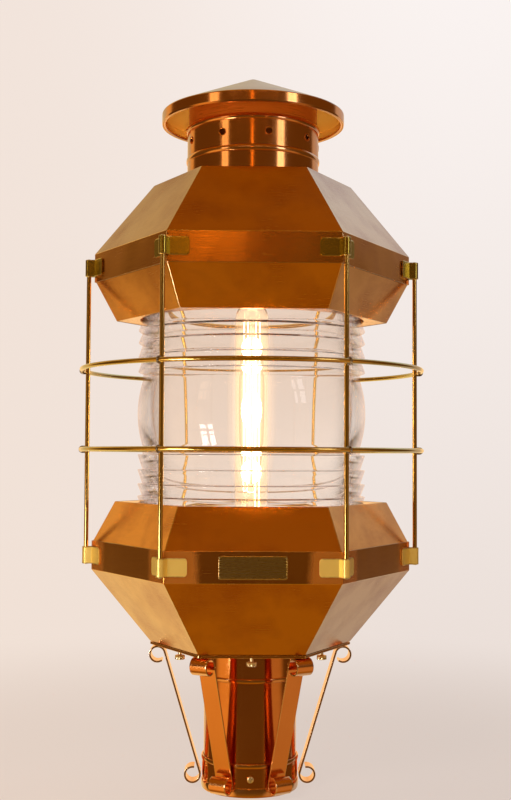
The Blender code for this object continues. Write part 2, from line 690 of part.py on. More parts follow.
def strap_path():
    """Return a strap's side line: top scroll, straight run tangent to both scrolls, foot scroll."""
    line_r = SCROLL_R - STRAP_T / 2
    top = Vector((SCROLL_TOP_CIRCLE_R, PLATE_BOTTOM_Z - GAP - SCROLL_R))
    foot = Vector((SLEEVE_R + SLEEVE_BEAD + SCROLL_R, SCROLL_FOOT_Z))
    run = top - foot
    inner = math.atan2(run.y, run.x) + math.pi / 2
    over = arc(top, line_r, inner, -TOP_SCROLL_TURN, SCROLL_STEPS)
    under = arc(foot, line_r, inner, FOOT_SCROLL_TURN, SCROLL_STEPS)
    return list(reversed(over)) + under


def make_straps():
    """Build the six scrolled straps, one under each corner."""
    strap = ribbon_mesh("scroll_strap", strap_path(), STRAP_W, STRAP_T)
    place_round("scroll_strap", strap, BRIGHT_COPPER, turns(SIDES))


def make_lamp():
    """Build the stem, nut and socket, and the tubular lamp that screws into the socket."""
    stem_top = SOCKET_BOTTOM_Z + STEM_ENTRY - GAP
    stem_low = PLATE_BOTTOM_Z - STEM_TAIL
    stem = [(STEM_R, stem_top), (STEM_R, stem_low), (STEM_BORE_R, stem_low), (STEM_BORE_R, stem_top)]
    turned_solid("lamp_stem", stem, BRASS, SMALL_STEPS)
    nut_low = PLATE_TOP_Z + GAP
    nut_bore = (STEM_R + GAP) / FLAT_SHARE
    nut = [(NUT_R, nut_low + NUT_H), (NUT_R, nut_low), (nut_bore, nut_low), (nut_bore, nut_low + NUT_H)]
    turned_solid("stem_nut", nut, BRASS, SIDES)
    cup_floor = SOCKET_TOP_Z - SOCKET_CUP_H
    neck_top = SOCKET_BOTTOM_Z + SOCKET_NECK_H
    entry_top = SOCKET_BOTTOM_Z + STEM_ENTRY
    socket = [(0.0, cup_floor), (LAMP_CUP_R, cup_floor), (LAMP_CUP_R, SOCKET_TOP_Z),
              (SOCKET_R, SOCKET_TOP_Z), (SOCKET_R, neck_top + SOCKET_TAPER_H), (SOCKET_NECK_R, neck_top),
              (SOCKET_NECK_R, SOCKET_BOTTOM_Z), (STEM_R + GAP, SOCKET_BOTTOM_Z), (STEM_R + GAP, entry_top),
              (0.0, entry_top)]
    turned_solid("lamp_socket", socket, BRASS, MEDIUM_STEPS, closed=False)
    base_low = LAMP_BASE_TOP_Z - LAMP_BASE_H
    base = [(0.0, LAMP_BASE_TOP_Z), (LAMP_THREAD_R, LAMP_BASE_TOP_Z),
            (LAMP_THREAD_R, base_low + LAMP_BASE_TAPER_H), (LAMP_BASE_TIP_R, base_low), (0.0, base_low)]
    turned_solid("bulb_base", base, BRASS, MEDIUM_STEPS, closed=False)
    dome_z = BULB_BOTTOM_Z + BULB_H - BULB_R
    line = arc((0.0, dome_z), BULB_R, math.pi / 2, -math.pi / 2, BEAD_STEPS)
    line[0] = (0.0, line[0][1])
    line += [(BULB_R, BULB_BOTTOM_Z + BULB_NECK_H), (BULB_NECK_R, BULB_BOTTOM_Z)]
    turned_sheet("bulb_glass", line, BULB_GLASS, MEDIUM_STEPS, BULB_WALL)
    make_filament()


def make_filament():
    """Build the wound wire: tall legs in a ring, joined in turn at their tops and bottoms."""
    top_z = BULB_BOTTOM_Z + BULB_H - FILAMENT_HEADROOM
    low_z = BULB_BOTTOM_Z + FILAMENT_LOW
    corner = 2 * FILAMENT_R
    points = [(FILAMENT_CAGE_R, 0.0, BULB_BOTTOM_Z)]
    for leg, angle in enumerate(turns(FILAMENT_LEGS)):
        x, y = FILAMENT_CAGE_R * math.cos(angle), FILAMENT_CAGE_R * math.sin(angle)
        start, end = (low_z, top_z) if leg % 2 == 0 else (top_z, low_z)
        lean = math.copysign(corner, end - start)
        if leg:
            points.append((x, y, start + lean))
        if leg < FILAMENT_LEGS - 1:
            points.append((x, y, end - lean))
            turn = Matrix.Rotation(math.pi / FILAMENT_LEGS, 3, "Z")
            middle = turn @ Vector((x, y, 0.0))
            points.append((middle.x, middle.y, end))
    last = turns(FILAMENT_LEGS)[-1]
    points.append((FILAMENT_CAGE_R * math.cos(last), FILAMENT_CAGE_R * math.sin(last), BULB_BOTTOM_Z))
    curve = bpy.data.curves.new("filament", "CURVE")
    curve.dimensions = "3D"
    curve.bevel_depth = FILAMENT_R
    curve.bevel_resolution = 1
    curve.use_fill_caps = True
    spline = curve.splines.new("POLY")
    spline.points.add(len(points) - 1)
    for point, place in zip(spline.points, points):
        point.co = (*place, 1.0)
    add_object("filament", curve, FILAMENT)


def build_all():
    """Build every piece, from the vent down to the post fitter."""
    make_vent()
    make_hood()
    make_lens()
    make_cage()
    make_body()
    make_name_plate()
    make_base_plate()
    make_thumbscrews()
    make_fitter()
    make_straps()
    make_lamp()


build_all()
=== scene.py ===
"""Looks of the navigation post lantern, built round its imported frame.

Each sub-assembly of the lantern is a class: its fields are the maker's sizes, its methods build and
dress its pieces.  All lengths are in metres, +Z runs up the post, and the name plate looks along -Y.
"""
import logging
import math
from collections.abc import Callable, Sequence
from dataclasses import dataclass, field, replace
from enum import Enum
from typing import Any

import bmesh
import bpy
from mathutils import Matrix, Vector


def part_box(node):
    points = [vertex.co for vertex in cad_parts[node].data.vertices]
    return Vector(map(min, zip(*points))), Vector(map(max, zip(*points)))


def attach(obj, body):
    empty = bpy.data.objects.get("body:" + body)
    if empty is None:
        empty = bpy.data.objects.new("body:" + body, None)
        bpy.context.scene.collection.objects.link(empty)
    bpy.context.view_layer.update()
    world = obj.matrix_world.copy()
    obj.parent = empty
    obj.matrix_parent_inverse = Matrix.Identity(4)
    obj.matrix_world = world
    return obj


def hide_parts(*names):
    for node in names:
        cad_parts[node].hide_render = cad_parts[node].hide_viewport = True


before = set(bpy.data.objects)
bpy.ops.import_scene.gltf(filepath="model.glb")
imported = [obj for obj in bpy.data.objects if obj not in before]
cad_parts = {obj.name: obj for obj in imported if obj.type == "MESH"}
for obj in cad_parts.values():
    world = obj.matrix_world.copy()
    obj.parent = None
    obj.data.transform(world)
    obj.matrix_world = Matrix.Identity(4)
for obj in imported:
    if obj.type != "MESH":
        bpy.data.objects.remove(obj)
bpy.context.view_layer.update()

LOG = logging.getLogger("post_lantern")

MM = 0.001
SIDES = 6
FLAT_SHARE = math.cos(math.pi / SIDES)
SHEET = 1.0 * MM
GAP = 0.3 * MM
TINY = 1e-7
WELD = 1e-6
FRONT = -math.pi / 2
HALF_TURN = math.pi
FULL_TURN = 2 * math.pi

Colour = tuple[float, float, float]
Pair = tuple[float, float]


class Body(Enum):
    """The bodies of the frame that pieces ride on."""

    LANTERN = "lantern"
    POST_BASE = "post_base"
    LAMP = "lamp"


class Grain(Enum):
    """Which way the fine marks of a metal run."""

    SHEET = "along the sheet, in its UV map"
    UPRIGHT = "up a bar"
    EVEN = "no direction"


@dataclass(frozen=True)
class Stop:
    """One point of an outline that is turned about Z or swept round six sides.

    On a six-sided plan the radius is measured to the middle of a side, unless the stop is round.
    """

    radius: float
    height: float
    fold: float = 0.0
    is_round: bool = False
    inside: float = 0.0

    def flat(self) -> Vector:
        """Return the stop as a point in the plane of the outline."""
        return Vector((self.radius, self.height))


def stops(*points: Pair) -> list[Stop]:
    """Return plain stops at (radius, height) points."""
    return [Stop(radius, height) for radius, height in points]


def arc(centre: Pair, radius: float, start: float, sweep: float, steps: int) -> list[Pair]:
    """Work out points along an arc.

    Args:
        centre: Centre of the arc.
        radius: Its radius.
        start: Angle of its first point.
        sweep: Signed angle that it runs through.
        steps: How many equal steps it takes.

    Returns:
        The points, both ends included.
    """
    angles = [start + sweep * index / steps for index in range(steps + 1)]
    return [(centre[0] + radius * math.cos(a), centre[1] + radius * math.sin(a)) for a in angles]


def rounded(line: Sequence[Stop], radius: float, steps: int = 4, closed: bool = True) -> list[Stop]:
    """Round the corners of an outline, and mark the rounded stretches as folds.

    Args:
        line: Corners of the outline.
        radius: Radius of the rounding, less where a side is too short for it.
        steps: Steps along each rounding.
        closed: Whether the last corner joins the first.

    Returns:
        The stops of the rounded outline.
    """
    result: list[Stop] = []
    for index, stop in enumerate(line):
        at_end = not closed and index in (0, len(line) - 1)
        here = stop.flat()
        arrive = here - line[index - 1].flat()
        leave = line[(index + 1) % len(line)].flat() - here
        if at_end or arrive.length < TINY or leave.length < TINY or arrive.angle(leave) < math.radians(8):
            result.append(stop)
            continue
        bend = arrive.angle(leave)
        bite = min(radius * math.tan(bend / 2), 0.42 * arrive.length, 0.42 * leave.length)
        first = here - arrive.normalized() * bite
        last = here + leave.normalized() * bite
        for step in range(steps + 1):
            share = step / steps
            point = first.lerp(here, share).lerp(here.lerp(last, share), share)
            result.append(Stop(point.x, point.y, math.sin(math.pi * share), stop.is_round, stop.inside))
    return result


def walled(line: Sequence[Stop], thickness: float) -> list[Stop]:
    """Give a line a wall on its inner side.

    Args:
        line: Stops that run with the outside of the wall on their right, so up an outer face.
        thickness: Thickness of the wall.

    Returns:
        The closed outline of the wall.
    """
    inner: list[Stop] = []
    for index, stop in enumerate(line):
        ways = []
        if index:
            ways.append((stop.flat() - line[index - 1].flat()).normalized())
        if index < len(line) - 1:
            ways.append((line[index + 1].flat() - stop.flat()).normalized())
        if stop.radius < TINY:
            inner.append(Stop(0.0, stop.height - thickness / abs(ways[0].x), inside=1.0))
            continue
        mean = sum(ways, Vector((0.0, 0.0))).normalized()
        outward = Vector((mean.y, -mean.x))
        miter = thickness / max(0.4, mean.dot(ways[0]))
        point = stop.flat() - outward * miter
        inner.append(Stop(point.x, point.y, 0.0, stop.is_round, 1.0))
    return list(line) + inner[::-1]


class RoundPlan:
    """Plan of a turned piece: a circle."""

    def __init__(self, columns: int = 128) -> None:
        """Set how many columns go round."""
        self.columns = columns

    def ring(self, stop: Stop) -> list[Vector]:
        """Return the points of the circle at one stop."""
        angles = [FULL_TURN * index / self.columns for index in range(self.columns)]
        return [Vector((stop.radius * math.cos(a), stop.radius * math.sin(a), stop.height)) for a in angles]

    def fold(self, column: int) -> float:
        """Return how much of a fold a column is: never one on a circle."""
        return 0.0

    def across(self, column: int, edge: int, point: Vector, widest: float) -> float:
        """Return the distance round the piece of one edge of a column's faces."""
        return FULL_TURN * widest * (column + edge) / self.columns


class SixSidedPlan:
    """Plan of a folded piece: six sides with rounded corners, one corner on +X."""

    def __init__(self, fold_r: float = 1.3 * MM, fold_steps: int = 6, side_steps: int = 6) -> None:
        """Set the radius of the corners and how finely corners and sides are divided."""
        self.fold_r = fold_r
        self.fold_steps = fold_steps
        self.side_steps = side_steps
        self.per_side = fold_steps + side_steps
        self.columns = SIDES * self.per_side

    def ring(self, stop: Stop) -> list[Vector]:
        """Return the points of one ring, six-sided or round.

        Args:
            stop: The stop of the outline that the ring passes through.

        Returns:
            One point for each column.
        """
        if stop.radius < TINY:
            return [Vector((0.0, 0.0, stop.height))] * self.columns
        corner_r = stop.radius / FLAT_SHARE
        bite = min(self.fold_r * math.tan(math.pi / SIDES), corner_r / 6)
        corners = [Vector((math.cos(FULL_TURN * k / SIDES), math.sin(FULL_TURN * k / SIDES))) * corner_r
                   for k in range(SIDES + 1)]
        points: list[Vector] = []
        for side in range(SIDES):
            here = corners[side]
            before = corners[side - 1 if side else SIDES - 1]
            after = corners[side + 1]
            start = here.lerp(before, bite / corner_r)
            end = here.lerp(after, bite / corner_r)
            for step in range(self.fold_steps):
                share = step / self.fold_steps
                points.append(start.lerp(here, share).lerp(here.lerp(end, share), share))
            far = after.lerp(here, bite / corner_r)
            points += [end.lerp(far, step / self.side_steps) for step in range(self.side_steps)]
        if stop.is_round:
            points = [point.normalized() * stop.radius for point in points]
        return [Vector((point.x, point.y, stop.height)) for point in points]

    def fold(self, column: int) -> float:
        """Return how much of a fold a column is, from 0 on a side to 1 on a corner."""
        share = (column % self.per_side) / self.fold_steps
        return math.sin(math.pi * share) if share < 1.0 else 0.0

    def across(self, column: int, edge: int, point: Vector, widest: float) -> float:
        """Return the distance along its side of a point of a column's faces."""
        side = column // self.per_side
        if column % self.per_side < self.fold_steps / 2:
            side -= 1
        middle = FULL_TURN * (side + 0.5) / SIDES
        return side * 2 * widest - point.x * math.sin(middle) + point.y * math.cos(middle)


Plan = RoundPlan | SixSidedPlan


def link_piece(name: str, mesh: bpy.types.Mesh) -> bpy.types.Object:
    """Put a mesh in the scene as an object at the origin."""
    piece = bpy.data.objects.new(name, mesh)
    bpy.context.scene.collection.objects.link(piece)
    return piece


def settle(piece: bpy.types.Object) -> bpy.types.Object:
    """Turn a piece and its modifiers into one plain mesh.

    Args:
        piece: The object, with any modifiers.

    Returns:
        The same object, with a plain mesh and no modifiers.
    """
    bpy.context.view_layer.update()
    graph = bpy.context.evaluated_depsgraph_get()
    mesh = bpy.data.meshes.new_from_object(piece.evaluated_get(graph), preserve_all_data_layers=True,
                                           depsgraph=graph)
    piece.modifiers.clear()
    piece.data = mesh
    mesh.name = piece.name
    return piece


def smooth(piece: bpy.types.Object, sharp_degrees: float = 38.0) -> bpy.types.Object:
    """Shade a piece smooth, keep its sharp edges and let its large faces stay flat.

    Args:
        piece: A piece with a plain mesh.
        sharp_degrees: Edges that bend more than this stay sharp.

    Returns:
        The same piece.
    """
    piece.data.shade_smooth()
    piece.data.set_sharp_from_angle(angle=math.radians(sharp_degrees))
    weigh = piece.modifiers.new("flat_faces", "WEIGHTED_NORMAL")
    weigh.keep_sharp = True
    weigh.weight = 60
    return settle(piece)


def lofted(name: str, outline: Sequence[Stop], plan: Plan, closed: bool = True) -> bpy.types.Object:
    """Carry an outline round a plan, with a UV map in metres and its folds marked.

    Args:
        name: Name of the piece.
        outline: Stops of the outline; an open one has both its ends on the axis.
        plan: Circle or six-sided plan.
        closed: Whether the outline's last stop joins its first.

    Returns:
        The shaded piece.
    """
    line = list(outline)
    turns = zip(line, line[1:] + line[:1])
    if sum(a.radius * b.height - b.radius * a.height for a, b in turns) < 0:
        line.reverse()
    rings = [plan.ring(stop) for stop in line]
    widest = max(stop.radius for stop in line)
    lengths = [0.0]
    for first, second in zip(line, line[1:] + line[:1]):
        lengths.append(lengths[-1] + (second.flat() - first.flat()).length)
    verts = [point for ring in rings for point in ring]
    faces: list[tuple[int, ...]] = []
    maps: list[Pair] = []
    for row in range(len(line) if closed else len(line) - 1):
        above = (row + 1) % len(line)
        for column in range(plan.columns):
            beside = (column + 1) % plan.columns
            corners = ((row, column, 0, 0), (row, beside, 1, 0), (above, beside, 1, 1), (above, column, 0, 1))
            faces.append(tuple(r * plan.columns + c for r, c, _, _ in corners))
            for r, c, edge, up in corners:
                maps.append((plan.across(column, edge, rings[r][c], widest), lengths[row + up]))
    mesh = bpy.data.meshes.new(name)
    mesh.from_pydata(verts, [], faces)
    layer = mesh.uv_layers.new(name="UVMap")
    layer.data.foreach_set("uv", [value for pair in maps for value in pair])
    fold = mesh.attributes.new("fold", "FLOAT", "POINT")
    columns = [plan.fold(column) for column in range(plan.columns)]
    fold.data.foreach_set("value", [max(stop.fold, 0.0 if stop.is_round else edge_wear_and_painted_shading)
                                    for stop in line for edge_wear_and_painted_shading in columns])
    inside = mesh.attributes.new("inside", "FLOAT", "POINT")
    inside.data.foreach_set("value", [stop.inside for stop in line for _ in columns])
    weld(mesh)
    return smooth(link_piece(name, mesh))


def weld(mesh: bpy.types.Mesh) -> None:
    """Merge a mesh's doubled points and drop the faces that vanish."""
    build = bmesh.new()
    build.from_mesh(mesh)
    bmesh.ops.remove_doubles(build, verts=build.verts, dist=WELD)
    bmesh.ops.dissolve_degenerate(build, edges=build.edges, dist=TINY)
    build.to_mesh(mesh)
    build.free()


def strip_section(half_width: float, thickness: float, edge: float) -> list[Pair]:
    """Work out the cross-section of a flat strip with eased edges.

    Args:
        half_width: Half its width.
        thickness: Its thickness.
        edge: How far its edges are eased.

    Returns:
        The (out, across) points of the section, anticlockwise.
    """
    half = thickness / 2
    ease = min(edge, half_width / 6)
    inner = half_width - 2.5 * ease
    side = [(half, -inner), (half, inner), (half, half_width - ease),
            (half - 0.3 * ease, half_width - 0.3 * ease), (half - ease, half_width)]
    far_side = [(-out, -across) for out, across in side]
    near_edge = [(-out, across) for out, across in side[:1:-1]]
    far_edge = [(out, -across) for out, across in side[:1:-1]]
    return side + near_edge + far_side + far_edge


def strip(name: str, path: Sequence[Pair], width: float, thickness: float, corner_r: float,
          edge: float) -> bpy.types.Mesh:
    """Build a flat strip whose middle line follows a path in the XY plane, with its width along Z.

    Args:
        name: Name of the mesh.
        path: Points of the middle line.
        width: Width of the strip.
        thickness: Thickness of the strip.
        corner_r: Radius of the four corners at its ends.
        edge: How far its edges are eased.

    Returns:
        The closed mesh, with a UV map in metres.
    """
    places = [Vector(point) for point in path]
    if corner_r:
        for ends in (places, None):
            places = eased_end(places, corner_r)[::-1]
    lengths = [0.0]
    for first, second in zip(places, places[1:]):
        lengths.append(lengths[-1] + (second - first).length)
    whole = lengths[-1]
    verts: list[Vector] = []
    count = 0
    for index, place in enumerate(places):
        way = (places[min(index + 1, len(places) - 1)] - places[max(index - 1, 0)]).normalized()
        out = Vector((way.y, -way.x))
        from_end = min(lengths[index], whole - lengths[index])
        short = max(0.0, corner_r - from_end)
        drawn = corner_r - math.sqrt(max(0.0, corner_r ** 2 - short ** 2)) if corner_r else 0.0
        section = strip_section(width / 2 - drawn, thickness, edge)
        count = len(section)
        for away, across in section:
            spot = place + out * away
            verts.append(Vector((spot.x, spot.y, across)))
    faces: list[tuple[int, ...]] = []
    maps: list[Pair] = []
    for row in range(len(places) - 1):
        for item in range(count):
            beside = (item + 1) % count
            faces.append((row * count + item, (row + 1) * count + item, (row + 1) * count + beside,
                          row * count + beside))
            near, far = verts[item].z, verts[beside].z
            maps += [(lengths[row], near), (lengths[row + 1], near), (lengths[row + 1], far),
                     (lengths[row], far)]
    last = (len(places) - 1) * count
    faces.append(tuple(range(count)))
    faces.append(tuple(last + item for item in reversed(range(count))))
    maps += [(0.0, verts[item].z) for item in range(count)]
    maps += [(whole, verts[item].z) for item in reversed(range(count))]
    mesh = bpy.data.meshes.new(name)
    mesh.from_pydata(verts, [], faces)
    mesh.uv_layers.new(name="UVMap").data.foreach_set("uv", [value for pair in maps for value in pair])
    # The eased edges count as folds, so they take the edge colour: part wear, part painted highlight.
    fold = mesh.attributes.new("fold", "FLOAT", "POINT")
    fold.data.foreach_set("value", [1.0 if abs(point.z) > width / 2 - edge * 1.1 else 0.0 for point in verts])
    build = bmesh.new()
    build.from_mesh(mesh)
    bmesh.ops.recalc_face_normals(build, faces=build.faces)
    build.to_mesh(mesh)
    build.free()
    return mesh


def eased_end(places: Sequence[Vector], corner_r: float) -> list[Vector]:
    """Add points near the start of a path for a rounded end.

    Args:
        places: The path.
        corner_r: Radius of the rounded corners there.

    Returns:
        The path with five more points on its first straight stretch.
    """
    first, second = places[0], places[1]
    way = (second - first).normalized()
    extra = [first + way * corner_r * (1 - math.cos(math.pi / 2 * step / 5)) for step in range(1, 6)]
    return [first] + extra + list(places[1:])


def pierce(piece: bpy.types.Object, radius: float, rods: Sequence[Matrix], length: float) -> bpy.types.Object:
    """Cut round holes through a piece.

    Args:
        piece: The piece.
        radius: Radius of the holes.
        rods: Where each drill stands, its length along Z.
        length: Length of the drill.

    Returns:
        The same piece, pierced and shaded.
    """
    mesh = bpy.data.meshes.new(piece.name + "_drill")
    build = bmesh.new()
    for place in rods:
        bmesh.ops.create_cone(build, cap_ends=True, segments=32, radius1=radius, radius2=radius, depth=length,
                              matrix=place)
    build.to_mesh(mesh)
    build.free()
    drill = link_piece(piece.name + "_drill", mesh)
    cut = piece.modifiers.new("holes", "BOOLEAN")
    cut.operation = "DIFFERENCE"
    cut.solver = "EXACT"
    cut.object = drill
    settle(piece)
    bpy.data.objects.remove(drill, do_unlink=True)
    return smooth(piece)


class Sheet:
    """A node tree that short calls fill in."""

    def __init__(self, tree: bpy.types.NodeTree) -> None:
        """Take the tree over."""
        self.tree = tree

    def add(self, kind: str, values: dict[Any, Any] | None = None, **settings: Any) -> bpy.types.Node:
        """Add a node.

        Args:
            kind: The node's type.
            values: For each input, the value that it holds or the socket that feeds it.
            **settings: The node's own settings.

        Returns:
            The node.
        """
        node = self.tree.nodes.new(kind)
        for name, value in settings.items():
            setattr(node, name, value)
        for key, value in (values or {}).items():
            if isinstance(value, bpy.types.NodeSocket):
                self.tree.links.new(value, node.inputs[key])
            else:
                node.inputs[key].default_value = value
        return node

    def math(self, operation: str, first: Any, second: Any = 0.0) -> bpy.types.NodeSocket:
        """Return a sum, product or other operation on two numbers."""
        return self.add("ShaderNodeMath", {0: first, 1: second}, operation=operation).outputs[0]

    def scaled(self, value: Any, low: Pair, high: Pair, smooth_step: bool = False) -> bpy.types.NodeSocket:
        """Return a number moved from one range to another.

        Args:
            value: The number.
            low: The range that it comes from.
            high: The range that it goes to.
            smooth_step: Whether it eases in and out.

        Returns:
            The socket with the result.
        """
        kind = "SMOOTHSTEP" if smooth_step else "LINEAR"
        values = {"Value": value, "From Min": low[0], "From Max": low[1], "To Min": high[0], "To Max": high[1]}
        return self.add("ShaderNodeMapRange", values, interpolation_type=kind).outputs["Result"]

    def blend(self, share: Any, first: Any, second: Any) -> bpy.types.NodeSocket:
        """Return a colour between two colours."""
        pick = self.add("ShaderNodeMix", {0: share}, data_type="RGBA")
        for index, value in ((6, first), (7, second)):
            if isinstance(value, bpy.types.NodeSocket):
                self.tree.links.new(value, pick.inputs[index])
            else:
                pick.inputs[index].default_value = (*value, 1.0)
        return pick.outputs[2]

    def noise(self, place: Any, scale: float, detail: float = 3.0, stretch: Colour = (1.0, 1.0, 1.0)) -> Any:
        """Return a noise from 0 to 1.

        Args:
            place: Socket with the place on the piece.
            scale: Waves in a metre.
            detail: Octaves of finer noise.
            stretch: How much each axis is scaled before.

        Returns:
            The socket with the noise.
        """
        moved = self.add("ShaderNodeMapping", {"Vector": place, "Scale": stretch}).outputs[0]
        values = {"Vector": moved, "Scale": scale, "Detail": detail, "Roughness": 0.55}
        return self.add("ShaderNodeTexNoise", values).outputs[0]


def new_material(name: str) -> tuple[bpy.types.Material, Sheet, bpy.types.Node]:
    """Start a material.

    Args:
        name: Its name.

    Returns:
        The material, its tree and its empty output node.
    """
    material = bpy.data.materials.new(name)
    material.use_nodes = True
    material.node_tree.nodes.clear()
    tree = Sheet(material.node_tree)
    return material, tree, tree.add("ShaderNodeOutputMaterial")


@dataclass(frozen=True)
class Scrub:
    """The places on a six-sided band that were scrubbed bright round the soldered clips."""

    side_pitch: float
    from_middle: float
    low: float
    high: float
    colour: Colour = (0.90, 0.34, 0.06)

    def share(self, tree: Sheet, place: Any, spot: Any, ragged: Any) -> Any:
        """Work out how far each place on the band is scrubbed.

        Args:
            tree: The material's tree.
            place: Socket with the UV map, in metres along the side.
            spot: Socket with the place on the piece.
            ragged: Socket with a noise that makes the edges uneven.

        Returns:
            The socket with the share, from 0 to 1.
        """
        along = tree.add("ShaderNodeSeparateXYZ", {0: place}).outputs[0]
        height = tree.add("ShaderNodeSeparateXYZ", {0: spot}).outputs[2]
        nearest = tree.math("SNAP", tree.math("ADD", along, self.side_pitch / 2), self.side_pitch)
        away = tree.math("ABSOLUTE", tree.math("SUBTRACT", along, nearest))
        away = tree.math("ADD", away, tree.math("MULTIPLY", ragged, 10.0 * MM))
        near_clip = tree.scaled(away, (self.from_middle, self.from_middle + 8.0 * MM), (0.0, 1.0), True)
        level = tree.math("SUBTRACT", height, (self.low + self.high) / 2)
        in_band = tree.math("LESS_THAN", tree.math("ABSOLUTE", level), (self.high - self.low) / 2)
        return tree.math("MULTIPLY", near_clip, in_band)


@dataclass(frozen=True)
class Metal:
    """Worked copper or brass: polishing streaks, faint stains, folds and edges lightened as part wear and part
    painted highlight, and inner faces darkened as painted shade.
    """

    name: str
    base: Colour
    stain: Colour
    # Colour of the folds and eased edges: part wear, part painted highlight; where it is dark, oxide and painted
    # shade.
    edge_wear_and_painted_shading: Colour
    roughness: float
    grain: Grain = Grain.EVEN
    streak: float = 0.07
    stained: float = 0.5
    wave: float = 0.0006
    relief: float = 0.04
    metallic: float = 1.0
    specular: float = 0.5
    # Colour painted on the inner faces, almost matt, in place of the light they catch: painted light.
    painted_lit_inside: Colour | None = None
    scrub: Scrub | None = None
    stretch: Colour = (40.0, 2200.0, 1.0)

    def place(self, tree: Sheet) -> tuple[Any, Colour, float]:
        """Choose where the streaks are read.

        Args:
            tree: The material's tree.

        Returns:
            The socket with the place, the stretch and the scale of the streaks.
        """
        spot = tree.add("ShaderNodeTexCoord")
        if self.grain is Grain.SHEET:
            return spot.outputs["UV"], self.stretch, 1.0
        if self.grain is Grain.UPRIGHT:
            return spot.outputs["Object"], (1.0, 1.0, 0.02), 2600.0
        return spot.outputs["Object"], (1.0, 1.0, 1.0), 900.0

    def material(self) -> bpy.types.Material:
        """Build the material."""
        material, tree, output = new_material(self.name)
        place, stretch, scale = self.place(tree)
        spot = tree.add("ShaderNodeTexCoord").outputs["Object"]
        streaks = tree.noise(place, scale, 4.0, stretch)
        cloud = tree.noise(spot, 22.0, 5.0)
        broad = tree.noise(spot, 7.0, 2.0)
        specks = tree.noise(spot, 420.0, 2.0)
        fold = tree.add("ShaderNodeAttribute", attribute_name="fold").outputs["Fac"]
        stains = tree.math("MULTIPLY", tree.scaled(cloud, (0.42, 0.72), (0.0, self.stained)),
                           tree.scaled(specks, (0.3, 0.7), (0.75, 1.0)))
        tint = tree.blend(stains, self.base, self.stain)
        # Folds and eased edges take the edge colour: part wear, part painted highlight; a dark edge colour gives
        # oxide and painted shade instead.
        edge_wear_and_painted_share = tree.math("MULTIPLY", fold, tree.scaled(specks, (0.35, 0.65), (0.55, 0.95)))
        colour = tree.blend(edge_wear_and_painted_share, tint, self.edge_wear_and_painted_shading)
        metallic: Any = self.metallic
        if self.scrub:
            place_uv = tree.add("ShaderNodeTexCoord").outputs["UV"]
            scrubbed = self.scrub.share(tree, place_uv, spot, cloud)
            colour = tree.blend(scrubbed, colour, self.scrub.colour)
            metallic = tree.scaled(scrubbed, (0.0, 1.0), (1.0, 0.7))
        inside = tree.add("ShaderNodeAttribute", attribute_name="inside").outputs["Fac"]
        # Painted light: a painted inner colour turns the inner faces bright and almost matt.
        if self.painted_lit_inside:
            colour = tree.blend(inside, colour, self.painted_lit_inside)
            metallic = tree.scaled(inside, (0.0, 1.0), (self.metallic, 0.08))
        else:
            # Painted shade: without a painted inner colour the inner faces are darkened almost to black.
            colour = tree.blend(tree.math("MULTIPLY", inside, 0.96), colour, (0.05, 0.022, 0.012))
        rough = tree.scaled(streaks, (0.3, 0.7), (self.roughness - self.streak, self.roughness + self.streak))
        rough = tree.math("ADD", rough, tree.math("MULTIPLY", tree.math("ADD", stains, inside), 0.10))
        swell = tree.add("ShaderNodeBump", {"Height": broad, "Strength": 1.0, "Distance": self.wave})
        marks = tree.add("ShaderNodeBump", {"Height": streaks, "Strength": self.relief, "Distance": 0.06 * MM,
                                            "Normal": swell.outputs[0]})
        shader = tree.add("ShaderNodeBsdfPrincipled", {"Base Color": colour, "Metallic": metallic,
                                                       "Roughness": rough, "Normal": marks.outputs[0],
                                                       "Specular IOR Level": self.specular})
        tree.tree.links.new(shader.outputs[0], output.inputs["Surface"])
        return material


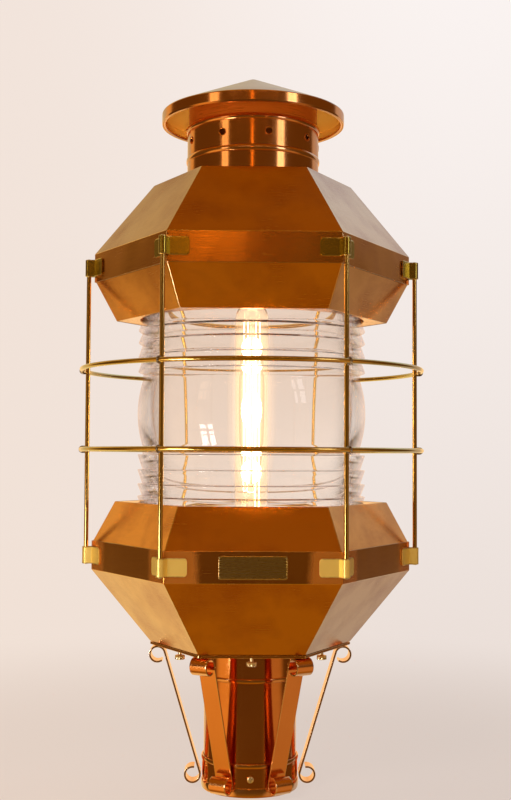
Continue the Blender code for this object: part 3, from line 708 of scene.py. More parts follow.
@dataclass(frozen=True)
class Glass:
    """Clear glass that lets lamps shine through it."""

    name: str
    tint: Colour
    roughness: float
    ior: float
    glow: float = 0.0
    # How far the glass turns see-through, with a pale lilac tint, towards its edges: painted light that lightens the
    # edges.
    rim: float = 0.0
    painted_edge_tint: Colour = (0.95, 0.89, 0.90)
    # Coppery tint on the ridge bends: a painted reflection of the copper.
    painted_ridge_reflection: Colour = (0.78, 0.44, 0.36)
    ripple: float = 0.00004

    def material(self) -> bpy.types.Material:
        """Build the material."""
        material, tree, output = new_material(self.name)
        spot = tree.add("ShaderNodeTexCoord").outputs["Object"]
        haze = tree.noise(spot, 60.0, 3.0)
        flow = tree.noise(spot, 26.0, 1.0, (1.0, 1.0, 0.35))
        rough = tree.scaled(haze, (0.35, 0.75), (self.roughness, self.roughness * 2.2))
        bump = tree.add("ShaderNodeBump", {"Height": flow, "Strength": 1.0, "Distance": self.ripple})
        tint = tree.blend(haze, self.tint, tuple(min(1.0, value * 1.03) for value in self.tint))
        # Painted reflection: the ridge bends are tinted coppery.
        fold = tree.add("ShaderNodeAttribute", attribute_name="fold").outputs["Fac"]
        tint = tree.blend(tree.scaled(fold, (0.0, 0.5), (0.0, 1.0)), tint, self.painted_ridge_reflection)
        shader = tree.add("ShaderNodeBsdfPrincipled", {
            "Base Color": tint, "Roughness": rough, "IOR": self.ior, "Transmission Weight": 1.0,
            "Emission Color": (1.0, 0.68, 0.44, 1.0), "Emission Strength": self.glow,
            "Normal": bump.outputs[0]})
        ray = tree.add("ShaderNodeLightPath")
        passing = tree.math("MAXIMUM", ray.outputs["Is Shadow Ray"], ray.outputs["Is Diffuse Ray"])
        # Painted light: towards the edges the glass turns see-through with a pale lilac tint, lightening them.
        facing = tree.add("ShaderNodeLayerWeight", {"Blend": 0.5}).outputs["Facing"]
        rim = tree.scaled(facing, (0.40, 0.85), (0.0, self.rim), True)
        passing = tree.math("MAXIMUM", passing, rim)
        clear = tree.add("ShaderNodeBsdfTransparent", {"Color": tree.blend(rim, self.tint, self.painted_edge_tint)})
        mixed = tree.add("ShaderNodeMixShader", {0: passing, 1: shader.outputs[0], 2: clear.outputs[0]})
        tree.tree.links.new(mixed.outputs[0], output.inputs["Surface"])
        return material


@dataclass(frozen=True)
class Cork:
    """Pressed cork of the gaskets."""

    name: str = "gasket_cork"
    light: Colour = (0.36, 0.22, 0.12)
    dark: Colour = (0.12, 0.06, 0.03)

    def material(self) -> bpy.types.Material:
        """Build the material."""
        material, tree, output = new_material(self.name)
        spot = tree.add("ShaderNodeTexCoord").outputs["Object"]
        grain = tree.add("ShaderNodeTexVoronoi", {"Vector": spot, "Scale": 900.0})
        share = tree.scaled(grain.outputs["Distance"], (0.1, 0.7), (0.0, 1.0))
        colour = tree.blend(share, self.light, self.dark)
        bump = tree.add("ShaderNodeBump", {"Height": share, "Strength": 0.6, "Distance": 0.15 * MM})
        shader = tree.add("ShaderNodeBsdfPrincipled", {"Base Color": colour, "Roughness": 0.85,
                                                       "Normal": bump.outputs[0]})
        tree.tree.links.new(shader.outputs[0], output.inputs["Surface"])
        return material


@dataclass(frozen=True)
class HotWire:
    """Wire that glows with its own light."""

    name: str = "filament"
    hot: Colour = (1.0, 0.78, 0.42)
    strength: float = 9.0

    def material(self) -> bpy.types.Material:
        """Build the material."""
        material, tree, output = new_material(self.name)
        spot = tree.add("ShaderNodeTexCoord").outputs["Object"]
        flicker = tree.noise(spot, 160.0, 2.0)
        colour = tree.blend(flicker, self.hot, (1.0, 0.86, 0.6))
        shader = tree.add("ShaderNodeBsdfPrincipled", {
            "Base Color": (0.9, 0.6, 0.3, 1.0), "Roughness": 0.5, "Emission Color": colour,
            "Emission Strength": self.strength})
        tree.tree.links.new(shader.outputs[0], output.inputs["Surface"])
        return material


@dataclass(frozen=True)
class GlowingGas:
    """The light that fills the lamp round its wire, as seen through its glass."""

    name: str = "lamp_gas"
    colour: Colour = (1.0, 0.62, 0.36)
    strength: float = 4.0

    def material(self) -> bpy.types.Material:
        """Build the material."""
        material, tree, output = new_material(self.name)
        spot = tree.add("ShaderNodeTexCoord").outputs["Object"]
        veil = tree.noise(spot, 30.0, 1.0)
        tint = tree.blend(veil, (1.0, 1.0, 1.0), (0.98, 0.97, 0.95))
        clear = tree.add("ShaderNodeBsdfTransparent", {"Color": tint})
        light = tree.add("ShaderNodeEmission", {"Color": (*self.colour, 1.0), "Strength": self.strength})
        tree.tree.links.new(clear.outputs[0], output.inputs["Surface"])
        tree.tree.links.new(light.outputs[0], output.inputs["Volume"])
        return material


class Finishes:
    """Every finish of the lantern, each made once."""

    def __init__(self, scrub: Scrub) -> None:
        """Build the materials, with the scrubbed places of the body's band."""
        # Each metal's third colour is that of its folds and edges: part wear, part painted highlight.
        copper = Metal("brushed_copper", (0.86, 0.405, 0.10), (0.56, 0.19, 0.03), (1.0, 0.74, 0.42), 0.19,
                       Grain.SHEET, 0.05, 0.8, 0.0013, 0.022)
        self.copper = copper.material()
        self.scrubbed_copper = replace(copper, name="scrubbed_copper", scrub=scrub).material()
        self.bright_copper = Metal("bright_copper", (0.86, 0.37, 0.12), (0.64, 0.21, 0.05),
                                   (1.0, 0.70, 0.42), 0.13, Grain.SHEET, 0.035, relief=0.02).material()
        # The cap's underside is painted a bright, almost matt orange: painted light.
        self.cap_copper = Metal("cap_copper", (0.86, 0.37, 0.12), (0.64, 0.21, 0.05), (1.0, 0.70, 0.42), 0.13,
                                Grain.SHEET, 0.035, relief=0.02, specular=0.0,
                                painted_lit_inside=(1.0, 0.58, 0.10)).material()
        self.neck_copper = Metal("neck_copper", (0.66, 0.20, 0.02), (0.52, 0.14, 0.01), (1.0, 0.74, 0.46),
                                 0.30, Grain.SHEET, metallic=0.6).material()
        self.strap_copper = Metal("strap_copper", (0.92, 0.42, 0.15), (0.72, 0.28, 0.08), (1.0, 0.76, 0.50),
                                  0.16, Grain.SHEET, 0.03, 0.25, 0.0001, 0.015).material()
        self.cage_brass = Metal("cage_brass", (0.78, 0.54, 0.17), (0.46, 0.28, 0.07), (0.98, 0.82, 0.42),
                                0.15, Grain.UPRIGHT, 0.04, relief=0.02).material()
        clip = Metal("clip_brass", (0.56, 0.43, 0.08), (0.32, 0.22, 0.03), (1.0, 0.88, 0.50), 0.20,
                     Grain.SHEET, 0.06, 0.5, relief=0.02)
        self.clip_brass = clip.material()
        # The lower clips' edge colour is dark: oxide and painted contact shadow round the flanges.
        self.scrubbed_brass = replace(clip, name="scrubbed_brass", base=(1.0, 0.78, 0.22),
                                      stain=(0.92, 0.62, 0.15), edge_wear_and_painted_shading=(0.42, 0.26, 0.07), metallic=0.4, roughness=0.34).material()
        self.screw_brass = Metal("screw_brass", (0.90, 0.76, 0.46), (0.60, 0.44, 0.20), (1.0, 0.94, 0.72),
                                 0.20, Grain.EVEN, 0.06, metallic=0.8).material()
        self.socket_brass = Metal("socket_brass", (0.80, 0.56, 0.20), (0.50, 0.32, 0.10),
                                  (0.98, 0.84, 0.50), 0.24, Grain.EVEN).material()
        self.cap_brass = Metal("bulb_cap_brass", (0.84, 0.68, 0.40), (0.54, 0.40, 0.20), (1.0, 0.9, 0.7),
                               0.22, Grain.EVEN).material()
        self.plate_brass = Metal("name_plate_brass", (0.66, 0.51, 0.22), (0.42, 0.31, 0.12),
                                 (0.98, 0.78, 0.40), 0.24, Grain.SHEET, 0.05, 0.5).material()
        self.tie_metal = Metal("tie_wire", (0.36, 0.31, 0.25), (0.20, 0.15, 0.10), (0.9, 0.8, 0.66), 0.24,
                               Grain.EVEN).material()
        self.lens = Glass("lens_glass", (0.975, 0.914, 0.856), 0.006, 1.47, rim=0.8).material()
        self.bulb = Glass("bulb_glass", (1.0, 0.96, 0.88), 0.01, 1.35, 0.06).material()
        self.cork = Cork().material()
        self.hot_wire = HotWire().material()
        self.gas = GlowingGas().material()
        self.glows = [GlowingGas(f"lamp_glow_{number}", (1.0, 0.70, 0.46), strength).material()
                      for number, strength in enumerate((5.5, 8.5, 14.0, 34.0, 90.0))]


class PieceTree:
    """A Geometry Nodes tree with named inputs, which is run on a piece once."""

    def __init__(self, name: str) -> None:
        """Start the tree with a geometry coming in and one going out."""
        self.tree = bpy.data.node_groups.new(name, "GeometryNodeTree")
        self.sheet = Sheet(self.tree)
        self.tree.interface.new_socket("Geometry", in_out="INPUT", socket_type="NodeSocketGeometry")
        self.tree.interface.new_socket("Geometry", in_out="OUTPUT", socket_type="NodeSocketGeometry")
        self.start = self.sheet.add("NodeGroupInput")
        self.end = self.sheet.add("NodeGroupOutput")

    def number(self, name: str, kind: str = "NodeSocketFloat") -> bpy.types.NodeSocket:
        """Add a named input and return the socket that carries it."""
        self.tree.interface.new_socket(name, in_out="INPUT", socket_type=kind)
        return self.start.outputs[name]

    def close(self, geometry: bpy.types.NodeSocket) -> None:
        """End the tree in real geometry with its material."""
        real = self.sheet.add("GeometryNodeRealizeInstances", {0: geometry})
        finish = self.number("Finish", "NodeSocketMaterial")
        dressed = self.sheet.add("GeometryNodeSetMaterial", {"Geometry": real.outputs[0], "Material": finish})
        self.tree.links.new(dressed.outputs[0], self.end.inputs[0])

    def run(self, piece: bpy.types.Object, **values: Any) -> bpy.types.Object:
        """Run the tree on a piece and keep the result as its plain mesh.

        Args:
            piece: The piece that the tree works on.
            **values: The named inputs, with _ for each space.

        Returns:
            The same piece, with no modifier.
        """
        modifier = piece.modifiers.new("nodes", "NODES")
        modifier.node_group = self.tree
        for item in self.tree.interface.items_tree:
            key = item.name.replace(" ", "_").lower()
            if item.in_out == "INPUT" and key in values:
                modifier[item.identifier] = values[key]
        return settle(piece)


def around_tree() -> PieceTree:
    """Build the tree that sets copies of a piece round the axis, each turned to face away from it."""
    tree = PieceTree("set_round_the_axis")
    count = tree.number("Count", "NodeSocketInt")
    start = tree.number("Start")
    sheet = tree.sheet
    points = sheet.add("GeometryNodePoints", {"Count": count})
    index = sheet.add("GeometryNodeInputIndex").outputs[0]
    step = sheet.math("DIVIDE", FULL_TURN, count)
    angle = sheet.math("ADD", start, sheet.math("MULTIPLY", index, step))
    turn = sheet.add("ShaderNodeCombineXYZ", {"Z": angle}).outputs[0]
    copies = sheet.add("GeometryNodeInstanceOnPoints", {"Points": points.outputs[0],
                                                        "Instance": tree.start.outputs[0],
                                                        "Rotation": turn})
    tree.close(copies.outputs[0])
    return tree


def wire_tree() -> PieceTree:
    """Build the tree that gives round wire to a line of edges."""
    tree = PieceTree("draw_wire")
    radius = tree.number("Radius")
    bend = tree.number("Bend")
    sheet = tree.sheet
    line = sheet.add("GeometryNodeMeshToCurve", {0: tree.start.outputs[0]})
    soft = sheet.add("GeometryNodeFilletCurve", {"Curve": line.outputs[0], "Radius": bend,
                                                 "Limit Radius": True})
    for name, value in (("mode", "POLY"),):
        setattr(soft, name, value)
    soft.inputs["Count"].default_value = 6
    section = sheet.add("GeometryNodeCurvePrimitiveCircle", {"Resolution": 10, "Radius": radius})
    wire = sheet.add("GeometryNodeCurveToMesh", {"Curve": soft.outputs[0], "Profile Curve": section.outputs[0],
                                                 "Fill Caps": True})
    even = sheet.add("GeometryNodeSetShadeSmooth", {0: wire.outputs[0]})
    tree.close(even.outputs[0])
    return tree


def thread_tree() -> PieceTree:
    """Build the tree that winds a round thread about Z."""
    tree = PieceTree("wind_thread")
    radius = tree.number("Radius")
    height = tree.number("Height")
    turns = tree.number("Turns")
    low = tree.number("Low")
    size = tree.number("Size")
    sheet = tree.sheet
    coil = sheet.add("GeometryNodeCurveSpiral", {"Resolution": 40, "Rotations": turns, "Start Radius": radius,
                                                 "End Radius": radius, "Height": height})
    section = sheet.add("GeometryNodeCurvePrimitiveCircle", {"Resolution": 10, "Radius": size})
    ridge = sheet.add("GeometryNodeCurveToMesh", {"Curve": coil.outputs[0], "Profile Curve": section.outputs[0],
                                                  "Fill Caps": True})
    lift = sheet.add("ShaderNodeCombineXYZ", {"Z": low}).outputs[0]
    raised = sheet.add("GeometryNodeTransform", {"Geometry": ridge.outputs[0], "Translation": lift})
    even = sheet.add("GeometryNodeSetShadeSmooth", {0: raised.outputs[0]})
    both = sheet.add("GeometryNodeJoinGeometry", {0: even.outputs[0]})
    tree.tree.links.new(tree.start.outputs[0], both.inputs[0])
    tree.close(both.outputs[0])
    return tree


def knurl_tree() -> PieceTree:
    """Build the tree that presses a straight knurl into the rim of a turned head."""
    tree = PieceTree("press_knurl")
    teeth = tree.number("Teeth")
    depth = tree.number("Depth")
    rim = tree.number("Rim")
    low = tree.number("Low")
    high = tree.number("High")
    sheet = tree.sheet
    spot = sheet.add("GeometryNodeInputPosition").outputs[0]
    parts = sheet.add("ShaderNodeSeparateXYZ", {0: spot})
    x, y, z = parts.outputs[0], parts.outputs[1], parts.outputs[2]
    angle = sheet.math("ARCTAN2", y, x)
    wave = sheet.math("PINGPONG", sheet.math("MULTIPLY", angle, sheet.math("DIVIDE", teeth, math.pi)), 1.0)
    flat = sheet.add("ShaderNodeCombineXYZ", {"X": x, "Y": y}).outputs[0]
    away = sheet.add("ShaderNodeVectorMath", {0: flat}, operation="LENGTH").outputs["Value"]
    on_rim = sheet.math("GREATER_THAN", away, rim)
    in_band = sheet.math("MULTIPLY", sheet.math("GREATER_THAN", z, low), sheet.math("LESS_THAN", z, high))
    bite = sheet.math("MULTIPLY", sheet.math("MULTIPLY", wave, depth), sheet.math("MULTIPLY", on_rim, in_band))
    ray = sheet.add("ShaderNodeVectorMath", {0: flat}, operation="NORMALIZE").outputs[0]
    push = sheet.add("ShaderNodeVectorMath", {0: ray, "Scale": sheet.math("MULTIPLY", bite, -1.0)},
                     operation="SCALE").outputs[0]
    pressed = sheet.add("GeometryNodeSetPosition", {"Geometry": tree.start.outputs[0], "Offset": push})
    tree.close(pressed.outputs[0])
    return tree


@dataclass
class Shop:
    """What every sub-assembly shares: its finishes and its trees."""

    finishes: Finishes
    around: PieceTree = field(default_factory=around_tree)
    wire: PieceTree = field(default_factory=wire_tree)
    thread: PieceTree = field(default_factory=thread_tree)
    knurl: PieceTree = field(default_factory=knurl_tree)


@dataclass
class Assembly:
    """A sub-assembly that rides on one body."""

    shop: Shop
    body: Body = Body.LANTERN

    def deliver(self, piece: bpy.types.Object, finish: bpy.types.Material, slot: str, *nodes: str,
                body: str = "") -> bpy.types.Object:
        """Dress a finished piece and set it on its body.

        Args:
            piece: The piece.
            finish: Its material.
            slot: The record's material slot; not used.
            *nodes: The frame's nodes that it stands for.
            body: Name of its body, if it isn't the assembly's own.

        Returns:
            The same piece.
        """
        piece.data.materials.clear()
        piece.data.materials.append(finish)
        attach(piece, body or self.body.value)
        if nodes:
            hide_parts(*nodes)
        LOG.info("%s: %d faces on %s", piece.name, len(piece.data.polygons), body or self.body.value)
        return piece

    def set_round(self, piece: bpy.types.Object, count: int, start: float,
                  finish: bpy.types.Material) -> bpy.types.Object:
        """Repeat a piece round the axis.

        Args:
            piece: One copy, facing +X.
            count: How many there are.
            start: Angle of the first.
            finish: Their material.

        Returns:
            The same piece, now holding them all.
        """
        return self.shop.around.run(piece, count=count, start=start, finish=finish)


def numbered(stem: str, count: int = SIDES) -> list[str]:
    """Return the names of the frame's numbered nodes."""
    return [f"{stem}_{number}" for number in range(1, count + 1)]


def moved(piece: bpy.types.Object, place: Matrix) -> bpy.types.Object:
    """Move a piece by moving its mesh."""
    piece.data.transform(place)
    return piece


def out_at(radius: float, height: float) -> Matrix:
    """Return the place of something that faces away from the axis, its own +Z turned to +X."""
    return Matrix.Translation((radius, 0.0, height)) @ Matrix.Rotation(math.pi / 2, 4, "Y")


@dataclass
class Vent(Assembly):
    """Conical cap, plain neck and the perforated collar on the roof."""

    bead: float = 1.0 * MM
    lip_h: float = 4.9 * MM
    bead_z: float = 21.0 * MM
    bead_h: float = 5.1 * MM
    foot: float = 4.0 * MM
    holes: int = 9
    hole_r: float = 2.9 * MM
    hole_drop: float = 15.2 * MM
    hole_turn: float = math.radians(202.5)
    cap_rim_h: float = 9.8 * MM
    cap_rise: float = 34.4 * MM
    neck_lap: float = 8.0 * MM
    rivet_r: float = 1.5 * MM
    seam_w: float = 2.6 * MM

    def __post_init__(self) -> None:
        """Read the levels and radii from the frame."""
        low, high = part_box("vent_collar")
        self.collar_r = high.x - self.bead
        self.collar_top = high.z
        self.roof_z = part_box("hood_roof")[1].z
        low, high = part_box("vent_cap")
        self.cap_r = high.x
        self.cap_low = low.z
        self.cap_tip = high.z
        self.cap_edge = low.z + self.cap_rim_h

    def build(self) -> None:
        """Build and dress every piece of the vent."""
        self.build_collar()
        self.build_neck()
        self.build_cap()
        self.build_details()

    def swelling(self, height: float, tall: float) -> list[Stop]:
        """Return a rounded bead's stops up the collar."""
        bows = arc((0.0, 0.0), 1.0, -math.pi / 2, math.pi, 12)
        return [Stop(self.collar_r + self.bead * out, height + tall / 2 * up, 0.35 * out) for out, up in bows]

    def build_collar(self) -> None:
        """Build the collar with its rolled lip, swaged bead and punched holes."""
        line = stops((self.collar_r, self.roof_z - self.foot))
        line += self.swelling(self.roof_z + self.bead_z, self.bead_h)
        line += self.swelling(self.collar_top - self.lip_h / 2, self.lip_h)
        inner = self.collar_r - SHEET
        line += rounded(stops((inner, self.collar_top), (inner, self.roof_z - self.foot)), 0.2 * MM, 3, False)
        collar = lofted("vent_collar_sheet", line, RoundPlan(144))
        drills = [Matrix.Rotation(self.hole_turn + FULL_TURN * k / self.holes, 4, "Z")
                  @ out_at(self.collar_r, self.collar_top - self.hole_drop) for k in range(self.holes)]
        pierce(collar, self.hole_r, drills, 12.0 * MM)
        self.deliver(collar, self.shop.finishes.bright_copper, "bright_copper", "vent_collar")

    def build_neck(self) -> None:
        """Build the plain neck that carries the cap inside the collar."""
        radius = self.collar_r - SHEET - GAP
        slope = self.cap_rise / self.cap_r
        top = self.cap_tip - slope * radius - SHEET * math.hypot(1.0, slope) - GAP
        line = stops((radius, self.collar_top - self.neck_lap), (radius, top))
        outline = rounded(walled(line, SHEET), 0.3 * MM, 3)
        neck = lofted("vent_neck_sheet", outline, RoundPlan(128))
        self.deliver(neck, self.shop.finishes.neck_copper, "bright_copper", "vent_neck")

    def build_cap(self) -> None:
        """Build the spun cap: a cone, its turned-down rim and the hem rolled under the rim."""
        hem = 1.1 * MM
        rim = stops((self.cap_r, self.cap_low + 1.6 * MM), (self.cap_r, self.cap_edge), (0.0, self.cap_tip))
        skin = rounded(stops((self.cap_r - 0.3 * MM, self.cap_low)) + rim, 1.6 * MM, 6, False)
        bowed = self.dished(skin)
        cap = lofted("vent_cap_shell", self.trimmed(walled(bowed, SHEET)), RoundPlan(160), closed=False)
        self.deliver(cap, self.shop.finishes.cap_copper, "bright_copper", "vent_cap")
        ring = [Stop(self.cap_r - SHEET - hem + hem * math.cos(a), self.cap_low + hem + hem * math.sin(a))
                for a in (FULL_TURN * k / 16 for k in range(16))]
        roll = lofted("vent_cap_hem", ring, RoundPlan(128))
        self.deliver(roll, self.shop.finishes.bright_copper, "bright_copper")

    def dished(self, line: Sequence[Stop]) -> list[Stop]:
        """Ease the cone's tip, as spinning leaves it."""
        tip_r = 4.0 * MM
        slope = self.cap_rise / self.cap_r
        body = [stop for stop in line if stop.radius > tip_r]
        ends = []
        for step in range(1, 7):
            radius = tip_r * (1.0 - step / 6)
            drop = slope * tip_r * 0.5 * (1.0 + (radius / tip_r) ** 2)
            ends.append(Stop(radius, self.cap_tip - drop, 0.3))
        return body + ends

    def trimmed(self, outline: Sequence[Stop]) -> list[Stop]:
        """Turn a wall's outline so that it starts and ends on the axis."""
        turn = next(i for i, stop in enumerate(outline)
                    if stop.radius < TINY and outline[i + 1].radius < TINY)
        return list(outline[turn + 1:]) + list(outline[:turn + 1])

    def build_details(self) -> None:
        """Build the punched rims of the holes, the rivets, the soldered seams and the foot's solder."""
        finishes = self.shop.finishes
        height = self.collar_top - self.hole_drop
        rim = [Stop(self.hole_r + 0.25 * MM + 0.35 * MM * math.cos(a), 0.35 * MM * math.sin(a))
               for a in (FULL_TURN * k / 8 for k in range(8))]
        burr = moved(lofted("vent_hole_rims", rim, RoundPlan(32)), out_at(self.collar_r + 0.05 * MM, height))
        self.set_round(burr, self.holes, self.hole_turn, finishes.bright_copper)
        self.deliver(burr, finishes.bright_copper, "bright_copper")
        dome = [(0.0, 0.9 * MM)] + arc((0.0, 0.0), self.rivet_r, math.pi / 2, -math.pi / 2, 6)[1:]
        head = [Stop(out, up * 0.6 if out else 0.9 * MM) for out, up in dome] + stops((0.0, 0.0))
        rivet = lofted("vent_rivets", head[::-1], RoundPlan(20), closed=False)
        moved(rivet, out_at(self.collar_r + 0.8 * MM, self.collar_top - self.lip_h / 2 - 0.4 * MM))
        self.set_round(rivet, 4, FRONT + math.radians(10.4), finishes.bright_copper)
        self.deliver(rivet, finishes.bright_copper, "bright_copper")
        fillet = rounded(stops((self.collar_r, self.roof_z), (self.collar_r + 2.2 * MM, self.roof_z),
                               (self.collar_r, self.roof_z + 2.0 * MM)), 0.5 * MM, 3)
        foot = lofted("vent_foot_solder", fillet, RoundPlan(128))
        self.deliver(foot, finishes.copper, "brushed_copper")
        self.build_seam("vent_collar_seam", self.collar_r, self.roof_z + 1.8 * MM,
                        self.roof_z + self.bead_z - self.bead_h / 2, FRONT - math.radians(1.5))
        self.build_seam("vent_upper_seam", self.collar_r, self.roof_z + self.bead_z + self.bead_h / 2,
                        self.collar_top - self.lip_h, FRONT - math.radians(1.5))

    def build_seam(self, name: str, radius: float, low: float, high: float, angle: float) -> None:
        """Build the overlapped, soldered edge of a rolled wall.

        Args:
            name: Name of the piece.
            radius: Radius of the wall that it lies on.
            low: Its lowest level.
            high: Its highest level.
            angle: Where it runs up the wall.
        """
        turn = self.seam_w / radius
        path = [(radius * math.cos(a), radius * math.sin(a))
                for a in (angle - turn / 2 + turn * k / 4 for k in range(5))]
        mesh = strip(name, path, high - low, 0.5 * MM, 0.0, 0.15 * MM)
        mesh.transform(Matrix.Translation((0.0, 0.0, (low + high) / 2)))
        seam = smooth(link_piece(name, mesh))
        self.deliver(seam, self.shop.finishes.bright_copper, "bright_copper")


@dataclass
class CopperCase(Assembly):
    """The six-sided hood above the glass and the six-sided body below it, two pressings each."""

    long_slope_h: float = 62.8 * MM
    band_h: float = 25.4 * MM
    short_slope_h: float = 34.7 * MM
    short_slope_run: float = 20.3 * MM
    tuck_h: float = 8.0 * MM
    fold_r: float = 1.3 * MM
    screw_circle_r: float = 70.0 * MM
    flange_edge: float = 6.6 * MM
    flange_reach: float = 10.0 * MM
    screw_hole_r: float = 1.8 * MM
    lens_hole_r: float = 99.56 * MM
    lens_bore_r: float = 90.0 * MM
    lens_rim_r: float = 97.0 * MM
    seat_lip: float = 1.5 * MM

    def __post_init__(self) -> None:
        """Read the levels and the six-sided radii from the frame."""
        low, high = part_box("hood_roof")
        self.band_flat = high.y
        self.roof_z = high.z
        self.hood_band_low = low.z
        self.narrow_flat = self.screw_circle_r + self.flange_edge
        self.mouth_flat = self.band_flat - self.short_slope_run * FLAT_SHARE
        self.tuck_flat = self.band_flat - SHEET - GAP
        low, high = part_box("body_pan")
        self.pan_z = low.z
        self.body_band_high = high.z
        self.deck_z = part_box("body_shoulder")[1].z
        self.mouth_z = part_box("hood_undercut")[0].z
        self.collar_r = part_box("vent_collar")[1].x - SHEET

    def build(self) -> None:
        """Build and dress the hood and the body."""
        self.build_hood()
        self.build_body()
        self.build_plates()
        for position in ("upper", "lower"):
            self.build_seat(position)
        self.build_name_plate()

    def shell(self, name: str, line: list[Stop], node: str) -> bpy.types.Object:
        """Build one folded six-sided sheet.

        Args:
            name: Name of the piece.
            line: Its outer line, from its lower edge to its upper one.
            node: The frame's node that it stands for.

        Returns:
            The piece, not yet dressed.
        """
        outline = walled(rounded(line, self.fold_r, 5, False), SHEET)
        LOG.info("%s stands for %s", name, node)
        return lofted(name, rounded(outline, 0.25 * MM, 2), SixSidedPlan(self.fold_r))

    def build_hood(self) -> None:
        """Build the roof with its band, and the undercut tucked into the band."""
        band_high = self.hood_band_low + self.band_h
        roof_line = stops((self.band_flat, self.hood_band_low), (self.band_flat, band_high),
                          (self.narrow_flat, self.roof_z)) + [Stop(self.collar_r + GAP, self.roof_z, 0.0, True)]
        roof = self.shell("hood_roof_sheet", roof_line, "hood_roof")
        self.deliver(roof, self.shop.finishes.copper, "brushed_copper", "hood_roof")
        tuck_line = stops((self.mouth_flat, self.mouth_z), (self.tuck_flat, self.hood_band_low),
                          (self.tuck_flat, self.hood_band_low + self.tuck_h))
        undercut = self.shell("hood_undercut_sheet", tuck_line, "hood_undercut")
        self.deliver(undercut, self.shop.finishes.copper, "brushed_copper", "hood_undercut")

    def build_body(self) -> None:
        """Build the pan with its band, and the shoulder tucked into the band."""
        band_low = self.body_band_high - self.band_h
        pan_line = [Stop(self.screw_circle_r - self.flange_reach, self.pan_z, 0.0, True)]
        pan_line += stops((self.narrow_flat, self.pan_z), (self.band_flat, band_low),
                          (self.band_flat, self.body_band_high))
        pan = self.shell("body_pan_sheet", pan_line, "body_pan")
        angles = [math.pi / SIDES + FULL_TURN * k / SIDES for k in range(SIDES)]
        drills = [Matrix.Translation((self.screw_circle_r * math.cos(a), self.screw_circle_r * math.sin(a),
                                      self.pan_z)) for a in angles]
        pierce(pan, self.screw_hole_r, drills, 8.0 * MM)
        self.deliver(pan, self.shop.finishes.scrubbed_copper, "brushed_copper", "body_pan")
        line = stops((self.tuck_flat, self.body_band_high - self.tuck_h), (self.tuck_flat, self.body_band_high),
                     (self.mouth_flat, self.deck_z))
        shoulder = self.shell("body_shoulder_sheet", line, "body_shoulder")
        self.deliver(shoulder, self.shop.finishes.copper, "brushed_copper", "body_shoulder")

    def build_plates(self) -> None:
        """Build the flat plates that close the two mouths round the glass."""
        for name, node in (("hood_floor_plate", "hood_floor"), ("body_deck_plate", "body_deck")):
            low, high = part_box(node)
            outline = stops((high.y, low.z), (high.y, high.z))
            outline += [Stop(self.lens_hole_r, high.z, 0.0, True), Stop(self.lens_hole_r, low.z, 0.0, True)]
            plate = lofted(name, rounded(outline, 0.25 * MM, 3), SixSidedPlan(self.fold_r, side_steps=16))
            self.deliver(plate, self.shop.finishes.copper, "brushed_copper", node)

    def build_seat(self, position: str) -> None:
        """Build the angle ring and the gasket that hold one end of the glass.

        Args:
            position: upper or lower.
        """
        low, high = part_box(f"lens_seat_{position}")
        inner = self.lens_hole_r + GAP
        outer = inner + SHEET
        lip = self.lens_bore_r - self.seat_lip
        if position == "upper":
            line = stops((inner, low.z), (outer, low.z), (outer, high.z), (lip, high.z),
                         (lip, high.z - SHEET), (inner, high.z - SHEET))
        else:
            line = stops((lip, low.z), (outer, low.z), (outer, high.z), (inner, high.z),
                         (inner, low.z + SHEET), (lip, low.z + SHEET))
        seat = lofted(f"lens_seat_{position}_ring", rounded(line, 0.3 * MM, 3), RoundPlan(96))
        self.deliver(seat, self.shop.finishes.copper, "brushed_copper", f"lens_seat_{position}")
        low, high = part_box(f"lens_gasket_{position}")
        ring = stops((self.lens_bore_r + GAP, low.z), (self.lens_rim_r, low.z), (self.lens_rim_r, high.z),
                     (self.lens_bore_r + GAP, high.z))
        gasket = lofted(f"lens_gasket_{position}_ring", rounded(ring, 0.4 * MM, 3), RoundPlan(96))
        self.deliver(gasket, self.shop.finishes.cork, "gasket_cork", f"lens_gasket_{position}")

    def build_name_plate(self) -> None:
        """Build the bare plate: rounded corners, a raised border and a sunk, plain field."""
        low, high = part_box("name_plate")
        half_w = (high.x - low.x) / 2
        half_h = (high.z - low.z) / 2
        depth = high.y - low.y
        middle = (low + high) / 2
        levels = ((0.0, -depth / 2), (0.0, depth / 2 - 0.2 * MM), (0.2 * MM, depth / 2),
                  (0.75 * MM, depth / 2), (0.95 * MM, depth / 2 - 0.28 * MM))
        rows = [self.plate_ring(half_w - inset, half_h - inset, 2.2 * MM, rise) for inset, rise in levels]
        count = len(rows[0])
        verts = [point for row in rows for point in row]
        faces = [(r * count + c, r * count + (c + 1) % count, (r + 1) * count + (c + 1) % count,
                  (r + 1) * count + c) for r in range(len(rows) - 1) for c in range(count)]
        faces.append(tuple(reversed(range(count))))
        faces.append(tuple((len(rows) - 1) * count + c for c in range(count)))
        mesh = bpy.data.meshes.new("name_plate_blank")
        mesh.from_pydata(verts, [], faces)
        layer = mesh.uv_layers.new(name="UVMap")
        for loop, data in zip(mesh.loops, layer.data):
            spot = mesh.vertices[loop.vertex_index].co
            data.uv = (spot.x, spot.y)
        fold = mesh.attributes.new("fold", "FLOAT", "POINT")
        shares = (0.0, 0.6, 1.0, 1.0, 0.0)
        fold.data.foreach_set("value", [share for share in shares for _ in range(count)])
        mesh.transform(Matrix.Translation(middle) @ Matrix.Rotation(math.pi / 2, 4, "X"))
        plate = smooth(link_piece("name_plate_blank", mesh), 50.0)
        self.deliver(plate, self.shop.finishes.plate_brass, "name_plate_brass", "name_plate")

